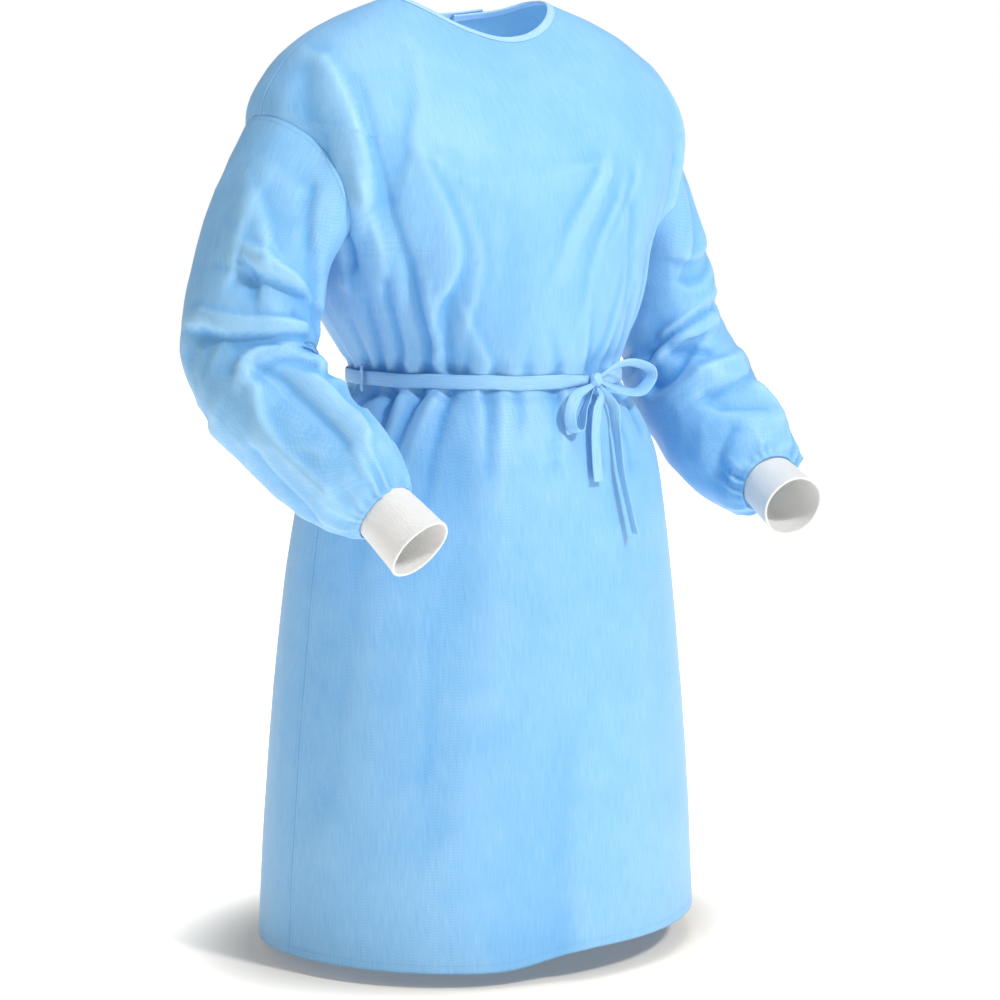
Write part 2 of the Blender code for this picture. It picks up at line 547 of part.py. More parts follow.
def sleeve(side):
    """Outer and inner faces of a sleeve. Its first ring lies beyond the armhole edge, by the gap across the mitre."""
    turns = np.arange(SLEEVE_TURNS) * (360.0 / SLEEVE_TURNS)
    turn, row = np.meshgrid(turns, SLEEVE_ROWS)
    outer = sleeve_folded(side, turn, row)
    inner = outer - CLOTH_WALL * sleeve_normals(side, turn, row)
    inner[0] = outer[0] + seam_offsets(side, turns, CLOTH_WALL)
    _, _, _, way = sleeve_frame(sleeve_table(side), np.zeros(1))
    away = way[0] * [side, 1, 1]
    mitre = unit(outer[0] - inner[0])
    step = ARMHOLE_GAP * unit(away - (mitre @ away)[:, None] * mitre)
    outer[0] += step
    inner[0] += step
    return outer, inner


def cuff(side):
    """Outer and inner faces of a knit cuff, a short tube that opens a little towards the hand."""
    table = sleeve_table(side)
    centre, outer_way, front, way = sleeve_frame(table, np.array(len(table) - 1.0))
    turn = np.radians(np.arange(CUFF_TURNS) * (360.0 / CUFF_TURNS))[None, :, None]
    along = np.linspace(0.0, 1.0, 4)[:, None, None]
    spoke = outer_way * np.cos(turn) + front * np.sin(turn)
    radius = CUFF_SEAM_RADIUS + (CUFF_OPENING_RADIUS - CUFF_SEAM_RADIUS) * along
    axis = centre + way * (SEAM_GAP * 2 + CUFF_LENGTH * along)
    place = [side, 1, 1]
    return (axis + spoke * radius) * place, (axis + spoke * (radius - KNIT_WALL)) * place


def neck_columns():
    """Angles and tucks round the neck from the outer back edge, over the front, to the inner back edge."""
    rows = np.zeros((1, 1))
    outer_back = -back_angles(end_angles(OUTER_BACK_END, rows), rows, RIGHT_BACK_STEPS)[0][::-1]
    inner_back = back_angles(end_angles(INNER_BACK_END, rows), rows, LEFT_BACK_STEPS)[0]
    angles = np.concatenate([outer_back, FRONT_ANGLES[1:-1], inner_back])
    tucks = np.concatenate([np.zeros(len(outer_back) + len(FRONT_ANGLES) - 2), layer_tuck(inner_back, 0.0)])
    return angles, tucks


def neck_binding():
    """Cross sections of the binding, folded over the neck edge with the seam's gap on each side of the cloth."""
    angles, tucks = neck_columns()
    edge = body_folded(angles, 0.0)
    lower = body_folded(angles, BINDING_RING)
    edge_out = body_normals(angles, 0.0)
    lower_out = body_normals(angles, BINDING_RING)
    edge -= plain_normals(body_base, angles, 0.0, HEM_RING) * tucks[:, None]
    lower -= plain_normals(body_base, angles, BINDING_RING, HEM_RING) * layer_tuck_columns(angles, tucks)
    up = unit(edge - lower)
    near, far = SEAM_GAP, SEAM_GAP + BINDING_WALL
    return np.stack(
        [
            lower + lower_out * far,
            edge + edge_out * far + up * far,
            edge - edge_out * (CLOTH_WALL + far) + up * far,
            lower - lower_out * (CLOTH_WALL + far),
            lower - lower_out * (CLOTH_WALL + near),
            edge - edge_out * (CLOTH_WALL + near) + up * near,
            edge + edge_out * near + up * near,
            lower + lower_out * near,
        ],
        axis=1,
    )


def layer_tuck_columns(angles, tucks):
    """The tuck at the binding's lower edge, for the columns that the inner back panel carries."""
    return np.where(tucks > 0, layer_tuck(angles, BINDING_RING), 0.0)[:, None]


def belt_faces():
    """Outer and inner faces of the belt round the waist, narrowing into the knot at both of its ends."""
    margin = math.degrees(BELT_END_FROM_KNOT / np.linalg.norm(waist_frame(KNOT_ANGLE)[0][:2]))
    angle = np.linspace(KNOT_ANGLE + margin, KNOT_ANGLE + 360 - margin, BELT_STEPS + 1)[None, :]
    from_knot = np.minimum(angle - KNOT_ANGLE, KNOT_ANGLE + 360 - angle)
    width = BELT_NARROW_SHARE + (1 - BELT_NARROW_SHARE) * smooth_step(from_knot / BELT_NARROW_ANGLE)
    ring = BELT_RING + BELT_HALF_RINGS * np.array([[-1.0], [1.0]]) * width
    points = body_base(angle, ring)
    out = plain_normals(body_base, angle, np.full_like(ring, BELT_RING), HEM_RING)
    return points + out * (BELT_STAND + TAPE_WALL), points + out * BELT_STAND


def waist_frame(angle):
    """Point on the belt line with the directions to the wearer's left, up and out from the body."""
    point = body_base(angle, BELT_RING)
    out = plain_normals(body_base, angle, BELT_RING, HEM_RING)
    up = np.array([0.0, 0.0, 1.0])
    out = unit(out - up * (out @ up))
    return point, np.cross(up, out), up, out


def carrier(angle):
    """Belt carrier: a narrow tape that stands off the side seam in an arch, with the belt under it."""
    point, side, up, out = waist_frame(angle)
    share = np.linspace(-1.0, 1.0, 9)
    height = CARRIER_HALF_HEIGHT * share
    base = body_base(angle, BELT_RING - height / BELT_RING_HEIGHT)
    base_out = ((base - point) @ out)[:, None]
    arch = (CARRIER_STAND * (1 - share**4) + CARRIER_FOOT_GAP)[:, None]
    middle = point + up * height[:, None] + out * (np.maximum(base_out, 0.0) + arch)
    slope = np.gradient(middle, axis=0)
    face = unit(np.cross(side, slope))
    face *= np.sign(face @ out)[:, None]
    across = side * (CARRIER_WIDTH / 2)
    outer = np.stack([middle - across + face * TAPE_WALL, middle + across + face * TAPE_WALL], axis=1)
    inner = np.stack([middle - across, middle + across], axis=1)
    return outer, inner


def body_reach(points, out):
    """How far out the body's face lies beside each point, at the point's own height and angle."""
    rings = np.linspace(BELT_RING - BODY_REACH_RINGS, HEM_RING, BODY_REACH_STEPS)
    angle = np.degrees(np.arctan2(points[:, 0], -points[:, 1]))
    heights = body_base(KNOT_ANGLE, rings)[:, 2]
    ring = np.interp(-points[:, 2], -heights, rings)
    return (body_base(angle, ring) - points) @ out


def bow_ribbon(table):
    """Outer and inner faces of a ribbon of the bow along its table's places."""
    point, side, up, out = waist_frame(KNOT_ANGLE)
    steps = np.linspace(0, len(table) - 1, (len(table) - 1) * BOW_STEPS_A_SECTION + 1)
    place = {name: smooth_through(column(table, BOW_COLUMNS, name), steps)[:, None] for name in BOW_COLUMNS[1:]}
    path = point + side * place["side"] + up * place["up"]
    path += out * (body_reach(path, out)[:, None] + place["out"])
    along = unit(np.gradient(path, axis=0))
    upright = unit(np.cross(out, along))
    lean = np.radians(place["lean"])
    width_way = upright * np.cos(lean) + out * np.sin(lean)
    width_way = unit(width_way - along * (width_way * along).sum(-1, keepdims=True))
    face = np.cross(along, width_way)
    half = width_way * place["width"] / 2
    outer = np.stack([path - half, path + half], axis=1) + face[:, None] * TAPE_WALL / 2
    inner = np.stack([path - half, path + half], axis=1) - face[:, None] * TAPE_WALL / 2
    return outer, inner


def material(name, colour, roughness):
    made = bpy.data.materials.new(name)
    made.use_nodes = True
    shader = made.node_tree.nodes["Principled BSDF"]
    shader.inputs["Base Color"].default_value = (*colour, 1.0)
    shader.inputs["Roughness"].default_value = roughness
    shader.inputs["Metallic"].default_value = 0.0
    return made


def add_object(name, points, faces, colour, roughness):
    mesh = bpy.data.meshes.new(name)
    mesh.from_pydata([tuple(point) for point in points], [], faces)
    body = bmesh.new()
    body.from_mesh(mesh)
    bmesh.ops.recalc_face_normals(body, faces=body.faces)
    body.to_mesh(mesh)
    body.free()
    mesh.shade_smooth()
    mesh.set_sharp_from_angle(angle=math.radians(50))
    mesh.materials.append(material(name + "_finish", colour, roughness))
    made = bpy.data.objects.new(name, mesh)
    bpy.context.scene.collection.objects.link(made)
    return made


def add_wall(name, faces_of_wall, colour, roughness, round_the_grid=False):
    """A wall between an outer and an inner grid of points, closed along every free edge."""
    outer, inner = faces_of_wall
    rows, columns = outer.shape[:2]
    points = np.concatenate([outer.reshape(-1, 3), inner.reshape(-1, 3)])
    back = rows * columns
    wrap = columns if round_the_grid else columns - 1
    faces = []
    for row in range(rows - 1):
        for place in range(wrap):
            a = row * columns + place
            b = row * columns + (place + 1) % columns
            c, d = b + columns, a + columns
            faces.append((a, b, c, d))
            faces.append((a + back, d + back, c + back, b + back))
    for place in range(wrap):
        beside = (place + 1) % columns
        top, low = (rows - 1) * columns, back
        faces.append((place, place + low, beside + low, beside))
        faces.append((top + place, top + beside, top + beside + low, top + place + low))
    if not round_the_grid:
        for row in range(rows - 1):
            a, b = row * columns, (row + 1) * columns
            faces.append((a, b, b + back, a + back))
            a, b = a + columns - 1, b + columns - 1
            faces.append((a, a + back, b + back, b))
    return add_object(name, points, faces, colour, roughness)


def add_swept(name, sections, colour, roughness):
    """A closed cross section carried along a path, with a flat face at each end."""
    count, corners = sections.shape[:2]
    faces = []
    for place in range(count - 1):
        for corner in range(corners):
            a = place * corners + corner
            b = place * corners + (corner + 1) % corners
            faces.append((a, b, b + corners, a + corners))
    last = (count - 1) * corners
    faces.append(tuple(range(corners - 1, -1, -1)))
    faces.append(tuple(last + corner for corner in range(corners)))
    return add_object(name, sections.reshape(-1, 3), faces, colour, roughness)


def add_knot():
    """The bow's knot: a small rounded lump that stands on the belt line."""
    point, side, up, out = waist_frame(KNOT_ANGLE)
    middle = point + out * (BELT_STAND + KNOT_HALF[2])
    body = bmesh.new()
    bmesh.ops.create_icosphere(body, subdivisions=3, radius=1.0)
    points = np.array([vertex.co[:] for vertex in body.verts])
    faces = [tuple(vertex.index for vertex in face.verts) for face in body.faces]
    body.free()
    shape = np.stack([side * KNOT_HALF[0], up * KNOT_HALF[1], out * KNOT_HALF[2]])
    return add_object("belt_knot", middle + points @ shape, faces, CLOTH_COLOUR, 0.55)


def clear_scene():
    for old in list(bpy.data.objects):
        bpy.data.objects.remove(old, do_unlink=True)


def main():
    clear_scene()
    add_wall("front_panel", front_panel(), CLOTH_COLOUR, 0.55)
    add_wall("right_back_panel", right_back_panel(), CLOTH_COLOUR, 0.55)
    add_wall("left_back_panel", left_back_panel(), CLOTH_COLOUR, 0.55)
    for word, side in (("right", -1), ("left", 1)):
        add_wall(f"{word}_sleeve", sleeve(side), CLOTH_COLOUR, 0.55, round_the_grid=True)
        add_wall(f"{word}_cuff", cuff(side), KNIT_COLOUR, 0.8, round_the_grid=True)
    add_swept("neck_binding", neck_binding(), BINDING_COLOUR, 0.5)
    add_wall("belt_waist", belt_faces(), CLOTH_COLOUR, 0.5)
    for word, angle in zip(("right", "left"), CARRIER_ANGLES):
        add_wall(f"{word}_belt_carrier", carrier(angle), CLOTH_COLOUR, 0.5)
    add_knot()
    add_wall("bow_left_loop", bow_ribbon(LEFT_LOOP), CLOTH_COLOUR, 0.5)
    add_wall("bow_right_loop", bow_ribbon(RIGHT_LOOP), CLOTH_COLOUR, 0.5)
    add_wall("bow_front_tail", bow_ribbon(FRONT_TAIL), CLOTH_COLOUR, 0.5)
    add_wall("bow_side_tail", bow_ribbon(SIDE_TAIL), CLOTH_COLOUR, 0.5)


main()
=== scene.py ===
"""Isolation gown: the cut cloth pieces as thin shells with their folds, seams, knit cuffs, belt and bow."""

import math

import bmesh
import bpy
import numpy as np
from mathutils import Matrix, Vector


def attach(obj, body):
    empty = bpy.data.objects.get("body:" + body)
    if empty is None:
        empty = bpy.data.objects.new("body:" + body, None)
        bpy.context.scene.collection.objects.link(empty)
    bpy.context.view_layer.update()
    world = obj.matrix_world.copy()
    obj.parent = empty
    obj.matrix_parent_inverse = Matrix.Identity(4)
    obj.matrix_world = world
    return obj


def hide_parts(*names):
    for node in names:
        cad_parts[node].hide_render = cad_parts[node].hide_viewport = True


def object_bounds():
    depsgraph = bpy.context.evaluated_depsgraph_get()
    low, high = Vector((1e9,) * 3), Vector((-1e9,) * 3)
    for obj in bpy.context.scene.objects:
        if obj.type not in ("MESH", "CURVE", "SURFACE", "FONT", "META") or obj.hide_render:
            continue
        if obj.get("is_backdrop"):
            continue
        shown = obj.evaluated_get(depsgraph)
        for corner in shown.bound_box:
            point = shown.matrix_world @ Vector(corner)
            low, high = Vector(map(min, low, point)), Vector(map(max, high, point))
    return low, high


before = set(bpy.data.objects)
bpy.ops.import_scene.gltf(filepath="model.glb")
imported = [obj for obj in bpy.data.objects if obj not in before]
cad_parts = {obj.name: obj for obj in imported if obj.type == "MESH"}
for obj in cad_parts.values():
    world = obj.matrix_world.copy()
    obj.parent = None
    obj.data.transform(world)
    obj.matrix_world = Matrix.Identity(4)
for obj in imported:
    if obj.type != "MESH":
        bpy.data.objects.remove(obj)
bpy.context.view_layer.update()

bl_info = {
    "name": "Isolation gown",
    "version": (1, 0, 0),
    "blender": (4, 5, 0),
    "location": "3D View > Sidebar > Gown",
    "description": "Makes the cloth pieces of an isolation gown on its frame",
    "category": "Add Mesh",
}

# Rings of the body from the neck edge to the hem. Each is a rounded loop: half its width at the sides, how far its
# front and back reach from the shoulder line, the heights of its sides, front and back, and its squareness.
RING_COLUMNS = ("name", "half_width", "front", "back", "side_z", "front_z", "back_z", "power")
RINGS = (
    ("neck edge", 0.122, 0.074, 0.079, 0.000, -0.050, -0.017, 2.00),
    ("neck base", 0.150, 0.103, 0.096, -0.009, -0.071, -0.040, 2.00),
    ("near shoulder", 0.200, 0.137, 0.118, -0.026, -0.103, -0.075, 2.05),
    ("mid shoulder", 0.251, 0.163, 0.133, -0.051, -0.138, -0.109, 2.10),
    ("shoulder point", 0.295, 0.182, 0.142, -0.089, -0.172, -0.143, 2.15),
    ("armhole top", 0.326, 0.197, 0.146, -0.145, -0.208, -0.184, 2.15),
    ("armhole middle", 0.306, 0.208, 0.145, -0.232, -0.258, -0.246, 2.15),
    ("underarm", 0.262, 0.213, 0.138, -0.308, -0.312, -0.310, 2.12),
    ("ribs", 0.233, 0.215, 0.124, -0.368, -0.370, -0.369, 2.10),
    ("above belt", 0.194, 0.211, 0.104, -0.430, -0.431, -0.430, 2.08),
    ("belt top", 0.181, 0.206, 0.095, -0.4535, -0.4555, -0.4535, 2.05),
    ("belt bottom", 0.181, 0.207, 0.096, -0.4755, -0.4775, -0.4755, 2.05),
    ("below belt", 0.197, 0.221, 0.110, -0.498, -0.500, -0.498, 2.05),
    ("high hip", 0.229, 0.243, 0.144, -0.562, -0.564, -0.562, 2.08),
    ("hip", 0.249, 0.257, 0.176, -0.670, -0.670, -0.670, 2.05),
    ("thigh", 0.264, 0.268, 0.196, -0.790, -0.790, -0.790, 2.02),
    ("knee", 0.277, 0.277, 0.208, -0.910, -0.910, -0.910, 2.00),
    ("shin", 0.287, 0.283, 0.218, -1.040, -1.040, -1.040, 2.00),
    ("hem", 0.294, 0.287, 0.224, -1.172, -1.172, -1.172, 2.00),
)
# Share of the half width on the wearer's left, by ring: that shoulder is a little narrower.
LEFT_SHARE = ((0.0, 1.00), (2.5, 1.00), (3.5, 0.975), (5.0, 0.940), (6.5, 0.945), (8.5, 0.985), (10.0, 1.00))
# The hem is a little higher at the front and the wearer's left: how much, and between which angles it rises.
HEM_LIFT = 0.020
HEM_LIFT_ANGLES = (-34.0, -6.0, 70.0, 120.0)
HEM_LIFT_RING = 14.0
ARMHOLE_TOP_RING = 5.0
UNDERARM_RING = 7.0
BELT_RING = 10.5
BELT_HOLD_RINGS = 0.6
HEM_RING = len(RINGS) - 1.0

# The armhole seam leaves the side by these angles at its front and back.
ARMHOLE_FRONT_SWEEP = 28.0
ARMHOLE_BACK_SWEEP = 28.0
PANEL_CORE = 40.0

# The back panels overlap: the right one lies outside and ends past the centre, the left one lies under it.
OUTER_BACK_END = ((0.0, 221.0), (3.0, 219.0), (10.5, 217.0), (18.0, 213.0))
INNER_BACK_END = ((0.0, 161.0), (3.0, 170.0), (10.5, 184.0), (18.0, 192.0))
LAYER_TUCK_NECK = 0.0056
LAYER_TUCK_BELOW = 0.0036
LAYER_TUCK_RINGS = 1.5
LAYER_TUCK_START = 100.0
LAYER_TUCK_FULL = 134.0

# The shells' sewn edges sink into a groove of this width. Two narrow columns of points lie in it, this angle from the
# edge at most, and the second one at this share of the first one's way.
SEAM_GROOVE = 0.0016
SEAM_COLUMN_ANGLE = 0.42
SEAM_COLUMN_LIMIT = 0.6
SEAM_COLUMN_SECOND = 0.45
ON_EDGE = 1e-6

# Sleeve sections from the armhole to the cuff seam. x is the distance out from the middle of the body.
SLEEVE_COLUMNS = ("name", "x", "y", "z", "across", "along")
RIGHT_SLEEVE = (
    ("armhole", 0.290, -0.004, -0.227, 0.094, 0.090),
    ("upper arm", 0.322, -0.005, -0.286, 0.096, 0.076),
    ("mid upper arm", 0.341, -0.008, -0.346, 0.093, 0.072),
    ("above elbow", 0.356, -0.018, -0.403, 0.089, 0.073),
    ("elbow", 0.361, -0.045, -0.460, 0.083, 0.076),
    ("below elbow", 0.353, -0.089, -0.504, 0.076, 0.079),
    ("forearm", 0.342, -0.133, -0.540, 0.071, 0.077),
    ("low forearm", 0.330, -0.175, -0.569, 0.065, 0.070),
    ("gathered end", 0.322, -0.205, -0.590, 0.053, 0.054),
    ("cuff seam", 0.319, -0.219, -0.601, 0.0375, 0.0375),
)
LEFT_SLEEVE = (
    ("armhole", 0.274, -0.004, -0.227, 0.094, 0.088),
    ("upper arm", 0.303, -0.004, -0.287, 0.095, 0.073),
    ("mid upper arm", 0.322, -0.006, -0.348, 0.093, 0.071),
    ("above elbow", 0.335, -0.014, -0.411, 0.089, 0.072),
    ("elbow", 0.341, -0.040, -0.472, 0.085, 0.075),
    ("below elbow", 0.338, -0.084, -0.520, 0.081, 0.079),
    ("forearm", 0.336, -0.130, -0.560, 0.077, 0.078),
    ("low forearm", 0.334, -0.174, -0.592, 0.070, 0.071),
    ("gathered end", 0.328, -0.207, -0.609, 0.055, 0.055),
    ("cuff seam", 0.323, -0.224, -0.616, 0.0375, 0.0375),
)
SLEEVE_START_WAY = (0.78, 0.0, -0.62)
SLEEVE_OUTER = (0.586, 0.0, 0.810)
SLEEVE_BLEND_ROWS = 3.2
CUFF_GATHERS = 12
CUFF_GATHER_ROWS = 2.2

# Knit cuffs: the length that shows, the length that runs on inside the sleeve and how it narrows there, the radius
# at the seam and at the opening, and the raised rim.
CUFF_LENGTH = 0.064
CUFF_INSIDE = 0.045
CUFF_INSIDE_TAPER = 0.10
CUFF_SEAM_RADIUS = 0.0375
CUFF_OPENING_RADIUS = 0.0410
CUFF_RIM_ROUND = 1.25
CUFF_RIM_HEIGHT = 0.0007
CUFF_RIM_FROM_END = 0.002
CUFF_RIM_WIDTH = 0.0035

# Folded binding round the neck.
BINDING_RING = 0.30
BINDING_WALL = 0.0010
BINDING_SHELL = 0.0005
BINDING_STRIP = 0.024
BINDING_PUFF = 0.00035

# Belt, its carriers at the side seams and its bow. The knot sits on this angle round the waist.
KNOT_ANGLE = 7.0
BELT_HALF_RINGS = 0.40
BELT_STAND = 0.0007
BELT_NARROW_ANGLE = 16.0
BELT_NARROW_SHARE = 0.55
BELT_END_FROM_KNOT = 0.0059
BELT_CLEAR = 0.0002
KNOT_HALF = (0.0085, 0.0095, 0.0070)
KNOT_SHARE = 0.94
KNOT_TURNED = 18.0
CARRIER_ANGLES = (-86.0, 86.0)
CARRIER_WIDTH = 0.005
CARRIER_HALF_HEIGHT = 0.0165
CARRIER_STAND = 0.0050
CARRIER_FOOT_GAP = 0.0009
CARRIER_BOW = 0.0004
BELT_RING_HEIGHT = 0.022
RIBBON_BOW = 0.0007
RIBBON_SHELL_SHARE = 0.8
RIBBON_LEAST_WIDTH = 0.0105

# Ribbons of the bow: how far each place lies to the wearer's left of the knot, above it and out from the body's own
# face there. lean turns the ribbon's width from upright (0) to straight out from the body (90).
BOW_COLUMNS = ("name", "side", "up", "out", "lean", "width")
LEFT_LOOP = (
    ("leaves the knot", 0.0088, 0.0042, 0.0085, 30, 0.0066),
    ("rises", 0.0340, 0.0160, 0.0150, 42, 0.0150),
    ("top", 0.0630, 0.0180, 0.0230, 56, 0.0165),
    ("far turn", 0.1010, 0.0080, 0.0320, 68, 0.0165),
    ("far end", 0.1050, -0.0060, 0.0320, 74, 0.0165),
    ("returns", 0.0780, -0.0190, 0.0220, 62, 0.0165),
    ("comes back", 0.0420, -0.0150, 0.0135, 44, 0.0150),
    ("meets the knot", 0.0088, -0.0030, 0.0085, 30, 0.0062),
)
RIGHT_LOOP = (
    ("leaves the knot", -0.0076, -0.0062, 0.0085, 40, 0.0060),
    ("falls", -0.0450, -0.0160, 0.0150, 50, 0.0145),
    ("low", -0.0640, -0.0330, 0.0150, 60, 0.0150),
    ("low turn", -0.0680, -0.0530, 0.0140, 74, 0.0150),
    ("turns up", -0.0560, -0.0560, 0.0130, 76, 0.0145),
    ("rises", -0.0380, -0.0300, 0.0120, 66, 0.0130),
    ("meets the knot", -0.0040, -0.0098, 0.0060, 55, 0.0050),
)
FRONT_TAIL = (
    ("leaves the knot", 0.0004, -0.0102, 0.0092, 12, 0.0060),
    ("drops", -0.0040, -0.0190, 0.0130, 10, 0.0110),
    ("falls", -0.0220, -0.0340, 0.0140, 8, 0.0150),
    ("hangs", -0.0340, -0.0640, 0.0110, 6, 0.0165),
    ("lower", -0.0400, -0.0950, 0.0100, 6, 0.0165),
    ("cut end", -0.0410, -0.1190, 0.0100, 8, 0.0165),
)
SIDE_TAIL = (
    ("leaves the knot", 0.0061, -0.0079, 0.0082, 50, 0.0056),
    ("falls", 0.0090, -0.0340, 0.0130, 84, 0.0150),
    ("turns", 0.0000, -0.0620, 0.0130, 106, 0.0165),
    ("hangs", -0.0060, -0.1060, 0.0130, 114, 0.0165),
    ("lower", 0.0010, -0.1510, 0.0130, 115, 0.0165),
    ("cut end", 0.0080, -0.1860, 0.0140, 114, 0.0165),
)

